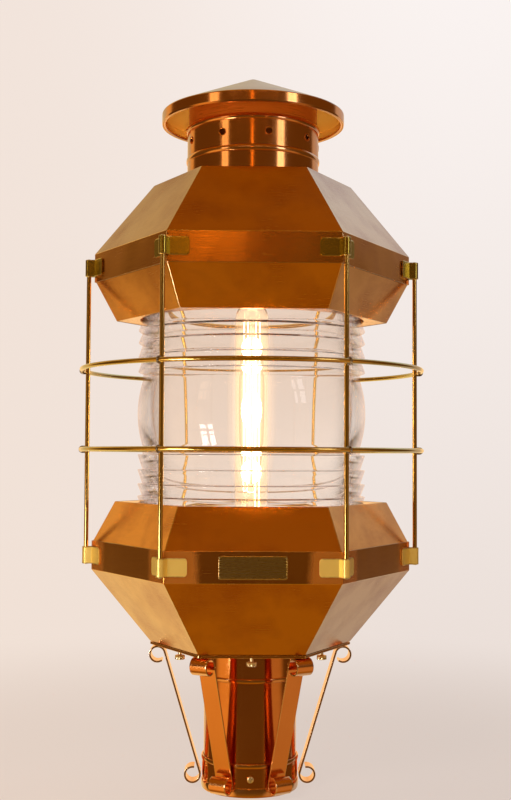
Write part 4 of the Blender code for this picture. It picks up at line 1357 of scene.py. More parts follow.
    def plate_ring(self, half_w: float, half_h: float, corner_r: float, rise: float) -> list[Vector]:
        """Return one ring of the plate's edge at a height above its middle."""
        points: list[Vector] = []
        corners = ((1, 1), (-1, 1), (-1, -1), (1, -1))
        for number, (side_x, side_y) in enumerate(corners):
            centre = (side_x * (half_w - corner_r), side_y * (half_h - corner_r))
            for x, y in arc(centre, corner_r, number * math.pi / 2, math.pi / 2, 6):
                points.append(Vector((x, y, rise)))
        return points


@dataclass
class SteppedLens(Assembly):
    """The pressed glass: a barrel with ridges above and below it."""

    bore_r: float = 90.0 * MM
    valley_r: float = 96.6 * MM
    ridge_r: float = 101.0 * MM
    rim_r: float = 97.0 * MM
    barrel_r: float = 101.1 * MM
    rim_h: float = 3.8 * MM
    barrel_h: float = 58.0 * MM
    first_ridge_z: float = 36.2 * MM
    ridge_shares: tuple[float, ...] = (0.2787, 0.2681, 0.2298, 0.2234)
    soft: float = 0.7 * MM

    def build(self) -> None:
        """Build and dress the glass."""
        low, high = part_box("fresnel_lens")
        middle = (low.z + high.z) / 2
        half = (high.z - low.z) / 2
        swell = self.barrel_r - self.valley_r
        arc_r = (swell ** 2 + (self.barrel_h / 2) ** 2) / (2 * swell)
        half_angle = math.asin(self.barrel_h / 2 / arc_r)
        barrel = arc((self.barrel_r - arc_r, 0.0), arc_r, -half_angle, 2 * half_angle, 40)
        side = [(self.valley_r, self.first_ridge_z)]
        rise = self.first_ridge_z
        for share in self.ridge_shares:
            side += [(self.ridge_r, rise)]
            rise += share * (half - self.rim_h - self.first_ridge_z)
            side += [(self.valley_r, rise)]
        side[-1] = (self.rim_r, rise)
        side.append((self.rim_r, half))
        upper = rounded(stops(barrel[-1], *side, (self.bore_r, half)), self.soft, 4, False)
        lower = [Stop(stop.radius, -stop.height, stop.fold) for stop in reversed(upper)]
        ring = lower + stops(*barrel[1:-1]) + upper
        outline = [Stop(stop.radius, stop.height + middle) for stop in ring]
        lens = lofted("stepped_lens", outline, RoundPlan(192))
        self.deliver(lens, self.shop.finishes.lens, "lens_glass", "fresnel_lens")


@dataclass
class Cage(Assembly):
    """Six upright bars, two rings, the ties where they cross and the clips on the copper bands."""

    rod_r: float = 2.0 * MM
    bar_out: float = 4.8 * MM
    clip_h: float = 15.0 * MM
    clip_flange: float = 19.0 * MM
    clip_t: float = 1.0 * MM
    clip_corner: float = 3.0 * MM
    clip_edge: float = 0.4 * MM
    band_h: float = 25.4 * MM
    tie_r: float = 0.8 * MM
    tie_sink: float = 0.3 * MM

    def __post_init__(self) -> None:
        """Read the bars' circle and the levels from the frame."""
        low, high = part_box("cage_bar_1")
        self.circle_r = (low.x + high.x) / 2
        self.bar_low = low.z
        self.bar_high = high.z
        self.corner_r = self.circle_r - self.bar_out
        self.ring_r = self.circle_r + 2 * self.rod_r + GAP

    def build(self) -> None:
        """Build and dress every piece of the cage."""
        self.build_bars()
        for position in ("upper", "lower"):
            self.build_ring(position)
            self.build_clips(position)
        self.build_ties()

    def build_bars(self) -> None:
        """Build the bars with their slightly rounded ends."""
        line = stops((0.0, self.bar_low), (self.rod_r, self.bar_low), (self.rod_r, self.bar_high),
                     (0.0, self.bar_high))
        bar = lofted("cage_bars", rounded(line, 0.9 * MM, 5, False), RoundPlan(24), closed=False)
        moved(bar, Matrix.Translation((self.circle_r, 0.0, 0.0)))
        self.set_round(bar, SIDES, 0.0, self.shop.finishes.cage_brass)
        self.deliver(bar, self.shop.finishes.cage_brass, "cage_brass", *numbered("cage_bar"))

    def build_ring(self, position: str) -> None:
        """Build one ring of round rod outside the bars.

        Args:
            position: upper or lower.
        """
        low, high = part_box(f"cage_ring_{position}")
        middle = (low.z + high.z) / 2
        section = [Stop(self.ring_r + out, middle + up)
                   for out, up in arc((0.0, 0.0), self.rod_r, 0.0, FULL_TURN, 20)[:-1]]
        ring = lofted(f"cage_ring_{position}_rod", section, RoundPlan(192))
        self.deliver(ring, self.shop.finishes.cage_brass, "cage_brass", f"cage_ring_{position}")

    def build_clips(self, position: str) -> None:
        """Build the six clips of one band, each bent round its bar and soldered to two sides.

        Args:
            position: upper or lower.
        """
        low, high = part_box(f"bar_clip_{position}_1")
        lift = GAP + self.clip_t / 2
        corner = lift / FLAT_SHARE
        wrap_r = self.rod_r + GAP + self.clip_t / 2
        lean = math.pi / SIDES
        end = (corner - self.clip_flange * math.sin(lean), -self.clip_flange * math.cos(lean))
        near = (corner - wrap_r * math.tan(lean), -wrap_r)
        wrap = arc((self.bar_out, 0.0), wrap_r, -math.pi / 2, math.pi, 16)
        path = [end, near] + wrap + [(near[0], wrap_r), (end[0], -end[1])]
        mesh = strip(f"bar_clips_{position}", path, self.clip_h, self.clip_t, self.clip_corner, self.clip_edge)
        mesh.transform(Matrix.Translation((self.corner_r, 0.0, (low.z + high.z) / 2)))
        clips = smooth(link_piece(f"bar_clips_{position}", mesh))
        finishes = self.shop.finishes
        brass = finishes.clip_brass if position == "upper" else finishes.scrubbed_brass
        self.set_round(clips, SIDES, 0.0, brass)
        self.deliver(clips, brass, "clip_brass", *numbered(f"bar_clip_{position}"))

    def build_ties(self) -> None:
        """Build the small soldered loops where the rings cross the bars."""
        for position in ("upper", "lower"):
            low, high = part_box(f"cage_ring_{position}")
            middle = (low.z + high.z) / 2
            reach = self.rod_r + self.tie_r - self.tie_sink
            bend = arc((self.ring_r, middle), reach, math.radians(100), math.radians(-200), 16)
            foot = self.circle_r + self.rod_r - self.tie_sink
            line = [(foot, middle + reach)] + bend + [(foot, middle - reach)]
            mesh = bpy.data.meshes.new(f"ring_ties_{position}")
            verts = [Vector((out, 0.0, up)) for out, up in line]
            mesh.from_pydata(verts, [(k, k + 1) for k in range(len(verts) - 1)], [])
            tie = link_piece(f"ring_ties_{position}", mesh)
            self.shop.wire.run(tie, radius=self.tie_r, bend=0.3 * MM, finish=self.shop.finishes.tie_metal)
            self.set_round(tie, SIDES, 0.0, self.shop.finishes.tie_metal)
            self.deliver(tie, self.shop.finishes.tie_metal, "cage_brass")


@dataclass
class PostFitter(Assembly):
    """Base plate, post tube, sleeves, post screws and scrolled straps."""

    body: Body = Body.POST_BASE
    tube_wall: float = 1.6 * MM
    bore_r: float = 39.0 * MM
    bead: float = 0.8 * MM
    bead_h: float = 4.0 * MM
    foot_bead_h: float = 8.0 * MM
    screw_circle_r: float = 70.0 * MM
    screw_hole_r: float = 1.8 * MM
    stem_hole_r: float = 5.3 * MM
    post_screws: int = 3
    post_screw_z: float = 15.5 * MM
    post_screw_r: float = 2.9 * MM
    post_screw_h: float = 1.6 * MM
    strap_w: float = 15.9 * MM
    strap_t: float = 1.6 * MM
    scroll_r: float = 7.4 * MM
    scroll_overhang: float = 0.3 * MM
    scroll_foot_z: float = 11.0 * MM
    top_turn: float = math.radians(290.0)
    foot_turn: float = math.radians(300.0)

    def __post_init__(self) -> None:
        """Read the levels and radii from the frame."""
        low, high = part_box("base_plate")
        self.plate_low = low.z
        self.plate_high = high.z
        self.plate_flat = high.y
        self.sleeve_r = self.bore_r + self.tube_wall + GAP + SHEET

    def build(self) -> None:
        """Build and dress every piece of the fitter."""
        self.build_plate()
        self.build_tube()
        self.build_sleeves()
        self.build_post_screws()
        self.build_straps()

    def build_plate(self) -> None:
        """Build the six-sided plate with its screw holes and the hole for the stem."""
        outline = stops((0.0, self.plate_low), (self.plate_flat, self.plate_low),
                        (self.plate_flat, self.plate_high), (0.0, self.plate_high))
        plate = lofted("base_plate_sheet", rounded(outline, 0.5 * MM, 4, False), SixSidedPlan(2.0 * MM),
                       closed=False)
        angles = [math.pi / SIDES + FULL_TURN * k / SIDES for k in range(SIDES)]
        drills = [Matrix.Translation((self.screw_circle_r * math.cos(a), self.screw_circle_r * math.sin(a),
                                      self.plate_low)) for a in angles]
        pierce(plate, self.screw_hole_r, drills, 10.0 * MM)
        pierce(plate, self.stem_hole_r, [Matrix.Translation((0.0, 0.0, self.plate_low))], 10.0 * MM)
        self.deliver(plate, self.shop.finishes.copper, "brushed_copper", "base_plate")

    def build_tube(self) -> None:
        """Build the tube that slips over the post."""
        low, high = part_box("post_tube")
        outer = self.bore_r + self.tube_wall
        line = walled(stops((outer, low.z), (outer, high.z)), self.tube_wall)
        tube = lofted("post_tube_wall", rounded(line, 0.4 * MM, 4), RoundPlan(144))
        self.deliver(tube, self.shop.finishes.bright_copper, "bright_copper", "post_tube")

    def swelling(self, height: float, tall: float) -> list[Stop]:
        """Return a bead's stops up a sleeve."""
        bows = arc((0.0, 0.0), 1.0, -math.pi / 2, math.pi, 10)
        return [Stop(self.sleeve_r + self.bead * out, height + tall / 2 * up, 0.5 * out) for out, up in bows]

    def build_sleeves(self) -> None:
        """Build the sleeve under the plate and the beaded sleeve at the foot."""
        inner = self.sleeve_r - SHEET
        low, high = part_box("sleeve_upper")
        line = self.swelling(low.z + self.bead_h / 2, self.bead_h)
        line += rounded(stops((self.sleeve_r, low.z + self.bead_h + 1 * MM), (self.sleeve_r, high.z),
                              (inner, high.z), (inner, low.z)), 0.25 * MM, 3, False)
        upper = lofted("sleeve_upper_wall", line, RoundPlan(144))
        self.deliver(upper, self.shop.finishes.bright_copper, "bright_copper", "sleeve_upper")
        low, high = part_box("sleeve_lower")
        line = self.swelling(low.z + self.foot_bead_h / 2, self.foot_bead_h)
        line += self.swelling(high.z - self.bead_h / 2, self.bead_h)
        line += stops((inner, high.z), (inner, low.z))
        lower = lofted("sleeve_lower_wall", line, RoundPlan(144))
        self.deliver(lower, self.shop.finishes.bright_copper, "bright_copper", "sleeve_lower")

    def build_post_screws(self) -> None:
        """Build the slotted screws that bite on the post."""
        head_in = self.sleeve_r + GAP
        dome = arc((0.0, 0.0), 1.0, math.pi / 2, -math.pi / 2, 8)
        line = [Stop(self.post_screw_r * out if step else 0.0, self.post_screw_h * (0.25 + 0.75 * up))
                for step, (out, up) in enumerate(dome)]
        line += stops((self.post_screw_r, 0.0), (1.5 * MM, 0.0), (1.5 * MM, self.bore_r - head_in),
                      (0.0, self.bore_r - head_in))
        screw = lofted("post_screws", line[::-1], RoundPlan(28), closed=False)
        slot = bpy.data.meshes.new("screw_slot")
        build = bmesh.new()
        place = Matrix.Translation((0.0, 0.0, self.post_screw_h)) @ Matrix.Diagonal((8 * MM, 0.7 * MM, 1.1 * MM, 1.0))
        bmesh.ops.create_cube(build, size=1.0, matrix=place)
        build.to_mesh(slot)
        build.free()
        blade = link_piece("screw_slot", slot)
        cut = screw.modifiers.new("slot", "BOOLEAN")
        cut.solver = "EXACT"
        cut.object = blade
        settle(screw)
        bpy.data.objects.remove(blade, do_unlink=True)
        smooth(screw)
        moved(screw, out_at(head_in, self.post_screw_z))
        self.set_round(screw, self.post_screws, FRONT, self.shop.finishes.screw_brass)
        self.deliver(screw, self.shop.finishes.screw_brass, "screw_brass",
                     *numbered("post_screw", self.post_screws))

    def strap_path(self) -> list[Pair]:
        """Work out a strap's side line.

        Returns:
            Points of the top scroll, the straight run that touches both scrolls, and the foot scroll.
        """
        line_r = self.scroll_r - self.strap_t / 2
        corner_r = self.plate_flat / FLAT_SHARE
        top = Vector((corner_r + self.scroll_overhang - self.scroll_r, self.plate_low - GAP - self.scroll_r))
        foot = Vector((self.sleeve_r + self.bead + self.scroll_r, self.scroll_foot_z))
        run = top - foot
        inner = math.atan2(run.y, run.x) + math.pi / 2
        over = arc(tuple(top), line_r, inner, -self.top_turn, 48)
        under = arc(tuple(foot), line_r, inner, self.foot_turn, 48)
        return over[::-1] + under

    def build_straps(self) -> None:
        """Build the six straps, one under each corner."""
        mesh = strip("scroll_straps", self.strap_path(), self.strap_w, self.strap_t, 0.0, 0.3 * MM)
        mesh.transform(Matrix.Rotation(math.pi / 2, 4, "X"))
        straps = smooth(link_piece("scroll_straps", mesh))
        self.set_round(straps, SIDES, 0.0, self.shop.finishes.strap_copper)
        self.deliver(straps, self.shop.finishes.strap_copper, "strap_copper", *numbered("scroll_strap"))


@dataclass
class Thumbscrews(Assembly):
    """The knurled screws that hold the lantern to its base plate, each on a body of its own."""

    circle_r: float = 70.0 * MM
    head_r: float = 4.2 * MM
    head_h: float = 3.7 * MM
    shank_r: float = 1.5 * MM
    knurl: float = 0.45 * MM
    teeth: int = 16

    def build(self) -> None:
        """Build and dress the six screws."""
        for number, name in enumerate(numbered("thumbscrew")):
            self.build_screw(name, math.pi / SIDES + FULL_TURN * number / SIDES)

    def build_screw(self, node: str, angle: float) -> None:
        """Build one screw: knurled head, domed face and shank.

        Args:
            node: The frame's node that it stands for.
            angle: Where it stands round the axis.
        """
        low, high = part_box(node)
        head_top = low.z + self.head_h
        dome = 0.4 * MM
        rows = [low.z + dome + (self.head_h - 2 * dome) * k / 4 for k in range(5)]
        line = stops((0.0, low.z), (self.head_r - 1.2 * MM, low.z), (self.head_r - 0.35 * MM, low.z + 0.12 * MM))
        line += stops(*[(self.head_r, row) for row in rows])
        line += rounded(stops((self.head_r - 0.35 * MM, head_top), (self.shank_r + 1 * MM, head_top),
                              (self.shank_r, head_top + 0.5 * MM), (self.shank_r, high.z), (0.0, high.z)),
                        0.3 * MM, 3, False)
        screw = lofted(f"{node}_knurled", line, RoundPlan(self.teeth * 8), closed=False)
        self.shop.knurl.run(screw, teeth=float(self.teeth), depth=self.knurl, rim=self.head_r - 0.1 * MM,
                            low=rows[0] + 0.1 * MM, high=rows[-1] - 0.1 * MM,
                            finish=self.shop.finishes.screw_brass)
        smooth(screw, 25.0)
        moved(screw, Matrix.Translation((self.circle_r * math.cos(angle), self.circle_r * math.sin(angle), 0.0)))
        number = node.rsplit("_", 1)[1]
        self.deliver(screw, self.shop.finishes.screw_brass, "screw_brass", node,
                     body=f"thumbscrew_body_{number}")


@dataclass
class LampHolder(Assembly):
    """The stem, its lock nut and the socket that carry the lamp."""

    body: Body = Body.POST_BASE
    stem_r: float = 5.0 * MM
    stem_bore_r: float = 3.2 * MM
    nut_r: float = 10.0 * MM
    wall: float = 3.9 * MM
    neck_r: float = 9.0 * MM
    neck_h: float = 10.0 * MM
    taper_h: float = 19.0 * MM
    cup_r: float = 13.6 * MM
    cup_h: float = 28.0 * MM
    entry: float = 6.0 * MM

    def build(self) -> None:
        """Build and dress the holder."""
        finishes = self.shop.finishes
        low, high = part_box("lamp_stem")
        line = walled(stops((self.stem_r, low.z), (self.stem_r, high.z)), self.stem_r - self.stem_bore_r)
        stem = lofted("lamp_stem_tube", rounded(line, 0.4 * MM, 3), RoundPlan(48))
        self.deliver(stem, finishes.socket_brass, "socket_brass", "lamp_stem")
        low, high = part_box("stem_nut")
        flat = self.nut_r * FLAT_SHARE
        hole = self.stem_r + GAP
        outline = rounded(stops((flat, low.z), (flat, high.z)), 0.6 * MM, 3, False)
        outline += [Stop(hole, high.z, 0.0, True), Stop(hole, low.z, 0.0, True)]
        nut = lofted("stem_nut_hex", rounded(outline, 0.5 * MM, 3), SixSidedPlan(0.4 * MM))
        self.deliver(nut, finishes.socket_brass, "socket_brass", "stem_nut")
        self.build_socket()

    def build_socket(self) -> None:
        """Build the turned socket with its rolled lip."""
        low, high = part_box("lamp_socket")
        outer = self.cup_r + self.wall
        neck_top = low.z + self.neck_h
        floor = high.z - self.cup_h + 0.5 * MM
        lip = 1.1 * MM
        line = stops((0.0, floor), (self.cup_r, floor), (self.cup_r, high.z), (outer, high.z),
                     (outer, high.z - 4 * lip), (outer - 0.6 * MM, high.z - 4.5 * lip),
                     (outer - 0.6 * MM, neck_top + self.taper_h + 2 * MM), (outer, neck_top + self.taper_h + 1 * MM),
                     (outer, neck_top + self.taper_h), (self.neck_r, neck_top), (self.neck_r, low.z),
                     (self.stem_r + GAP, low.z), (self.stem_r + GAP, low.z + self.entry),
                     (0.0, low.z + self.entry))
        socket = lofted("lamp_socket_shell", rounded(line, 0.7 * MM, 4, False), RoundPlan(96), closed=False)
        self.deliver(socket, self.shop.finishes.socket_brass, "socket_brass", "lamp_socket")


@dataclass
class Lamp(Assembly):
    """The tubular lamp: threaded base, glass, glass mount, glowing wire and gas."""

    body: Body = Body.LAMP
    thread_r: float = 12.9 * MM
    thread_size: float = 0.75 * MM
    base_tip_r: float = 7.0 * MM
    taper_h: float = 5.0 * MM
    bulb_r: float = 15.0 * MM
    neck_step: float = 1.4 * MM
    neck_h: float = 14.0 * MM
    wall: float = 0.8 * MM
    legs: int = 6
    wire_r: float = 0.3 * MM
    cage_r: float = 7.0 * MM
    low_wire: float = 25.0 * MM
    headroom: float = 16.0 * MM
    glow_radii: tuple[float, ...] = (22.0 * MM, 18.0 * MM, 13.4 * MM, 11.4 * MM, 9.0 * MM)

    def build(self) -> None:
        """Build and dress every piece of the lamp."""
        self.build_base()
        self.build_glass()
        self.build_wire()
        self.build_mount()

    def build_base(self) -> None:
        """Build the screw base with its thread and its contact."""
        low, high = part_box("bulb_base")
        core = self.thread_r - self.thread_size
        line = stops((0.0, low.z), (self.base_tip_r - 2 * MM, low.z), (self.base_tip_r, low.z + 0.6 * MM),
                     (core, low.z + self.taper_h), (core, high.z - 1.5 * MM), (self.thread_r, high.z - 1.5 * MM),
                     (self.thread_r, high.z), (0.0, high.z))
        base = lofted("bulb_base_shell", rounded(line, 0.4 * MM, 3, False), RoundPlan(72), closed=False)
        rise = high.z - low.z - self.taper_h - 4.5 * MM
        self.shop.thread.run(base, radius=core + 0.05 * MM, height=rise, turns=5.5, low=low.z + self.taper_h + 1 * MM,
                             size=self.thread_size - 0.1 * MM, finish=self.shop.finishes.cap_brass)
        self.deliver(base, self.shop.finishes.cap_brass, "bulb_cap_brass", "bulb_base")

    def glass_line(self, inset: float) -> list[Stop]:
        """Return the line of the lamp's glass, from its neck to its tip, drawn in by an inset."""
        low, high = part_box("bulb_glass")
        radius = self.bulb_r - inset
        neck = stops((radius - self.neck_step - 1.0 * MM, low.z + inset), (radius - self.neck_step, low.z + 3 * MM),
                     (radius, low.z + self.neck_h))
        dome = arc((0.0, high.z - self.bulb_r), radius, 0.0, math.pi / 2, 20)
        return rounded(neck, 4.0 * MM, 6, False) + [Stop(r if r > TINY else 0.0, z) for r, z in dome]

    def build_glass(self) -> None:
        """Build the glass and the glow that fills it."""
        outer = self.glass_line(0.0)
        outer[-1] = Stop(0.0, outer[-1].height)
        inner = self.glass_line(self.wall)
        inner[-1] = Stop(0.0, inner[-1].height)
        glass = lofted("bulb_glass_tube", inner[::-1] + outer, RoundPlan(72), closed=False)
        self.deliver(glass, self.shop.finishes.bulb, "bulb_glass", "bulb_glass")
        fill = self.glass_line(self.wall + 0.3 * MM)
        fill[-1] = Stop(0.0, fill[-1].height)
        gas = lofted("lamp_gas_fill", stops((0.0, fill[0].height)) + fill, RoundPlan(48), closed=False)
        self.deliver(gas, self.shop.finishes.gas, "bulb_glass")
        for number, radius in enumerate(self.glow_radii):
            self.build_glow(number, radius)

    def build_glow(self, number: int, radius: float) -> None:
        """Build one shell of the light round the wire, tapered at both ends.

        Args:
            number: Which shell it is, from the outermost.
            radius: Its radius.
        """
        low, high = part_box("bulb_glass")
        spread = radius - self.bulb_r
        foot = low.z + self.low_wire - spread
        top = high.z - self.headroom + 1.2 * spread
        middle = (foot + top) / 2
        blunt = 0.5 + 0.12 * number
        line = [(radius * math.cos(a) ** blunt if abs(a) < 1.57 else 0.0, middle + (top - middle) * math.sin(a))
                for a in (math.pi * (step / 24 - 0.5) for step in range(25))]
        shell = lofted(f"lamp_glow_{number}", stops(*line), RoundPlan(40), closed=False)
        self.deliver(shell, self.shop.finishes.glows[number], "filament")

    def build_wire(self) -> None:
        """Build the wire: tall legs in a ring, joined in turn at their tops and feet."""
        low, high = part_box("bulb_glass")
        top_z = high.z - self.headroom
        low_z = low.z + self.low_wire
        points: list[Vector] = [Vector((self.cage_r, 0.0, low.z + 2 * MM))]
        for leg in range(self.legs):
            angle = FULL_TURN * leg / self.legs
            spot = Vector((self.cage_r * math.cos(angle), self.cage_r * math.sin(angle), 0.0))
            ends = (low_z, top_z) if leg % 2 == 0 else (top_z, low_z)
            if leg:
                points.append(spot + Vector((0.0, 0.0, ends[0])))
            if leg < self.legs - 1:
                points.append(spot + Vector((0.0, 0.0, ends[1])))
        points.append(spot + Vector((0.0, 0.0, low.z + 2 * MM)))
        mesh = bpy.data.meshes.new("filament_wire")
        mesh.from_pydata(points, [(k, k + 1) for k in range(len(points) - 1)], [])
        wire = link_piece("filament_wire", mesh)
        self.shop.wire.run(wire, radius=self.wire_r, bend=2.0 * MM, finish=self.shop.finishes.hot_wire)
        self.deliver(wire, self.shop.finishes.hot_wire, "filament", "filament")

    def build_mount(self) -> None:
        """Build the glass foot and pillar that hold the wire up."""
        low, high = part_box("bulb_glass")
        top = high.z - self.headroom - 2 * MM
        line = stops((0.0, low.z + 1.5 * MM), (6.5 * MM, low.z + 1.5 * MM), (5.0 * MM, low.z + 8 * MM),
                     (2.4 * MM, low.z + 17 * MM), (1.2 * MM, low.z + 24 * MM), (1.1 * MM, top), (0.0, top + 1 * MM))
        mount = lofted("filament_mount", rounded(line, 1.5 * MM, 5, False), RoundPlan(32), closed=False)
        self.deliver(mount, self.shop.finishes.bulb, "bulb_glass")


@dataclass
class Studio:
    """The camera at the photograph's place, the pale floor and the soft light."""

    eye: Vector = field(default_factory=lambda: Vector((-0.00648, -1.0793, 0.2884)))
    pitch: float = 0.04691
    yaw: float = 0.00923
    roll: float = 0.00523
    turn: float = 0.01012
    lens_mm: float = 54.46
    pale: tuple[Colour, ...] = ((0.875, 0.745, 0.660), (0.800, 0.700, 0.645), (0.888, 0.776, 0.710),
                                (0.960, 0.900, 0.880))
    wall_left: tuple[Colour, Colour] = ((0.92, 0.84, 0.50), (0.50, 0.44, 0.26))
    wall_right: tuple[Colour, Colour, Colour] = ((0.46, 0.50, 0.56), (0.56, 0.46, 0.38), (0.60, 0.80, 1.10))
    wall_far_left: Colour = (0.84, 0.54, 0.18)
    wall_glow: Colour = (1.20, 0.84, 0.42)
    ceiling: Colour = (0.28, 0.112, 0.004)
    room: Colour = (0.115, 0.058, 0.014)
    ground: Colour = (0.35, 0.165, 0.008)
    side_warm: Colour = (0.85, 0.47, 0.13)
    side_cool: Colour = (0.50, 0.27, 0.10)

    def build(self) -> None:
        """Set up the camera, the floor, the world, the cards for the gloss and the lamp's light."""
        self.build_camera()
        self.build_floor()
        self.build_world()
        self.build_window("window_left", (-1.60, -1.38, 1.10), (0.42, 0.66), (1.0, 0.70, 0.42), 1.9)
        self.build_window("window_low", (-0.37, -0.40, 0.13), (0.13, 0.19), (1.0, 0.97, 0.94), 13.0)
        self.build_window("window_right", (1.60, -1.46, 1.12), (0.46, 0.90), (1.0, 0.96, 1.0), 3.0)
        self.build_window("window_high", (0.0, -1.62, 1.28), (1.80, 0.13), (1.0, 0.66, 0.40), 5.0)
        self.build_window("far_lamp", (-0.085, -2.5, 1.10), (0.07, 0.66), (1.0, 0.36, 0.04), 3.4)
        self.build_soft_light("key_light", (-1.3, -2.0, 1.7), (0.0, 0.0, 0.3), 16.0, (1.0, 0.95, 0.88))
        self.build_soft_light("low_light", (-0.2, -1.3, 0.10), (0.0, 0.0, 0.55), 8.5, (1.0, 0.74, 0.44))
        self.build_vent_light()
        self.build_lamp_light()

    def build_camera(self) -> None:
        """Place the camera that was solved from the photograph."""
        forward = Vector((math.sin(self.yaw) * math.cos(self.pitch), math.cos(self.yaw) * math.cos(self.pitch),
                          math.sin(self.pitch)))
        level = Vector((math.cos(self.yaw), -math.sin(self.yaw), 0.0))
        upright = level.cross(forward)
        right = level * math.cos(self.roll) + upright * math.sin(self.roll)
        up = upright * math.cos(self.roll) - level * math.sin(self.roll)
        axes = Matrix((right, up, -forward)).transposed().to_4x4()
        data = bpy.data.cameras.new("camera")
        data.lens = self.lens_mm
        data.sensor_width = 36.0
        data.clip_start = 0.01
        camera = bpy.data.objects.new("camera", data)
        camera.matrix_world = (Matrix.Rotation(-self.turn, 4, "Z") @ Matrix.Translation(self.eye) @ axes)
        bpy.context.scene.collection.objects.link(camera)
        bpy.context.scene.camera = camera

    def backdrop(self, tree: Sheet, way: Any) -> Any:
        """Return the background's colour in a direction from the camera: warmer left and low."""
        parts = tree.add("ShaderNodeSeparateXYZ", {0: way})
        across = tree.scaled(parts.outputs[0], (-0.20, 0.20), (0.0, 1.0), True)
        rise = tree.scaled(parts.outputs[2], (-0.28, 0.36), (0.0, 1.0))
        low = tree.blend(across, self.pale[0], self.pale[1])
        high = tree.blend(across, self.pale[2], self.pale[3])
        return tree.blend(rise, low, high)

    def straight(self, tree: Sheet) -> Any:
        """Return 1 where the camera looks straight at something or through glass, and 0 elsewhere."""
        ray = tree.add("ShaderNodeLightPath")
        through = tree.math("GREATER_THAN", ray.outputs["Transmission Depth"], 0.5)
        return tree.math("MAXIMUM", ray.outputs["Is Camera Ray"], through)

    def build_floor(self) -> None:
        """Build the pale floor, which keeps a soft shadow of the lantern."""
        mesh = bpy.data.meshes.new("studio_floor")
        build = bmesh.new()
        bmesh.ops.create_circle(build, cap_ends=True, cap_tris=True, segments=96, radius=7.0)
        build.to_mesh(mesh)
        build.free()
        floor = link_piece("studio_floor", mesh)
        floor.location.z = -0.5 * MM
        material, tree, output = new_material("studio_floor")
        spot = tree.add("ShaderNodeTexCoord").outputs["Object"]
        aim = tree.add("ShaderNodeVectorMath", {0: spot, 1: tuple(self.eye)}, operation="SUBTRACT").outputs[0]
        way = tree.add("ShaderNodeVectorMath", {0: aim}, operation="NORMALIZE").outputs[0]
        colour = self.backdrop(tree, way)
        away = tree.add("ShaderNodeVectorMath", {0: spot}, operation="LENGTH").outputs["Value"]
        plain = tree.scaled(away, (0.25, 0.95), (0.76, 1.0), True)
        share = tree.math("MULTIPLY", self.straight(tree), plain)
        matt = tree.add("ShaderNodeBsdfDiffuse", {"Color": colour})
        shown = tree.add("ShaderNodeEmission", {"Color": colour, "Strength": 1.0})
        mixed = tree.add("ShaderNodeMixShader", {0: share, 1: matt.outputs[0], 2: shown.outputs[0]})
        tree.tree.links.new(mixed.outputs[0], output.inputs["Surface"])
        mesh.materials.append(material)
        floor.visible_glossy = False

    def build_world(self) -> None:
        """Build the world: pale to the eye, and to metal a bright wall behind a dim, warm room."""
        world = bpy.data.worlds.new("studio")
        world.use_nodes = True
        world.node_tree.nodes.clear()
        bpy.context.scene.world = world
        tree = Sheet(world.node_tree)
        way = tree.add("ShaderNodeTexCoord").outputs["Generated"]
        parts = tree.add("ShaderNodeSeparateXYZ", {0: way})
        x, y, z = parts.outputs[0], parts.outputs[1], parts.outputs[2]
        steep = tree.math("MULTIPLY", tree.math("ABSOLUTE", z), 0.6)
        behind = tree.scaled(tree.math("ADD", y, steep), (0.675, 0.765), (0.0, 1.0), True)
        wall = self.wall_colour(tree, x, z)
        level = tree.math("SUBTRACT", y, tree.math("MULTIPLY", tree.math("ABSOLUTE", z), 0.3))
        wall = tree.blend(tree.scaled(level, (0.80, 0.93), (0.0, 1.0), True), wall, self.wall_glow)
        above = tree.scaled(z, (0.15, 0.75), (0.0, 1.0), True)
        below = tree.scaled(z, (-0.15, -0.75), (0.0, 1.0), True)
        front = tree.blend(above, self.room, self.ceiling)
        front = tree.blend(below, front, self.ground)
        front = tree.blend(self.lobe(tree, way, (-0.84, -0.42, -0.34)), front, self.side_warm)
        front = tree.blend(self.lobe(tree, way, (0.80, -0.44, -0.41)), front, self.side_cool)
        mirrored = tree.blend(behind, front, wall)
        colour = tree.blend(self.straight(tree), mirrored, self.backdrop(tree, way))
        shine = tree.add("ShaderNodeBackground", {"Color": colour, "Strength": 1.0})
        output = tree.add("ShaderNodeOutputWorld")
        tree.tree.links.new(shine.outputs[0], output.inputs[0])

    def wall_colour(self, tree: Sheet, x: Any, z: Any) -> Any:
        """Return the colour of the bright wall, warm low on the left and cool high on the right."""
        left = tree.blend(tree.scaled(z, (-0.5, 0.5), (0.0, 1.0)), *self.wall_left)
        right = tree.blend(tree.scaled(z, (-0.5, -0.15), (0.0, 1.0)), *self.wall_right[:2])
        right = tree.blend(tree.scaled(z, (0.25, 0.5), (0.0, 1.0)), right, self.wall_right[2])
        wall = tree.blend(tree.scaled(x, (-0.1, 0.4), (0.0, 1.0)), left, right)
        return tree.blend(tree.scaled(x, (-0.52, -0.66), (0.0, 1.0)), wall, self.wall_far_left)

    def lobe(self, tree: Sheet, way: Any, aim: Colour) -> Any:
        """Return how near each direction is to an aim, from 0 to 1 within about 25 degrees."""
        unit = Vector(aim).normalized()
        near = tree.add("ShaderNodeVectorMath", {0: way, 1: tuple(unit)}, operation="DOT_PRODUCT")
        return tree.scaled(near.outputs["Value"], (0.86, 0.96), (0.0, 1.0), True)

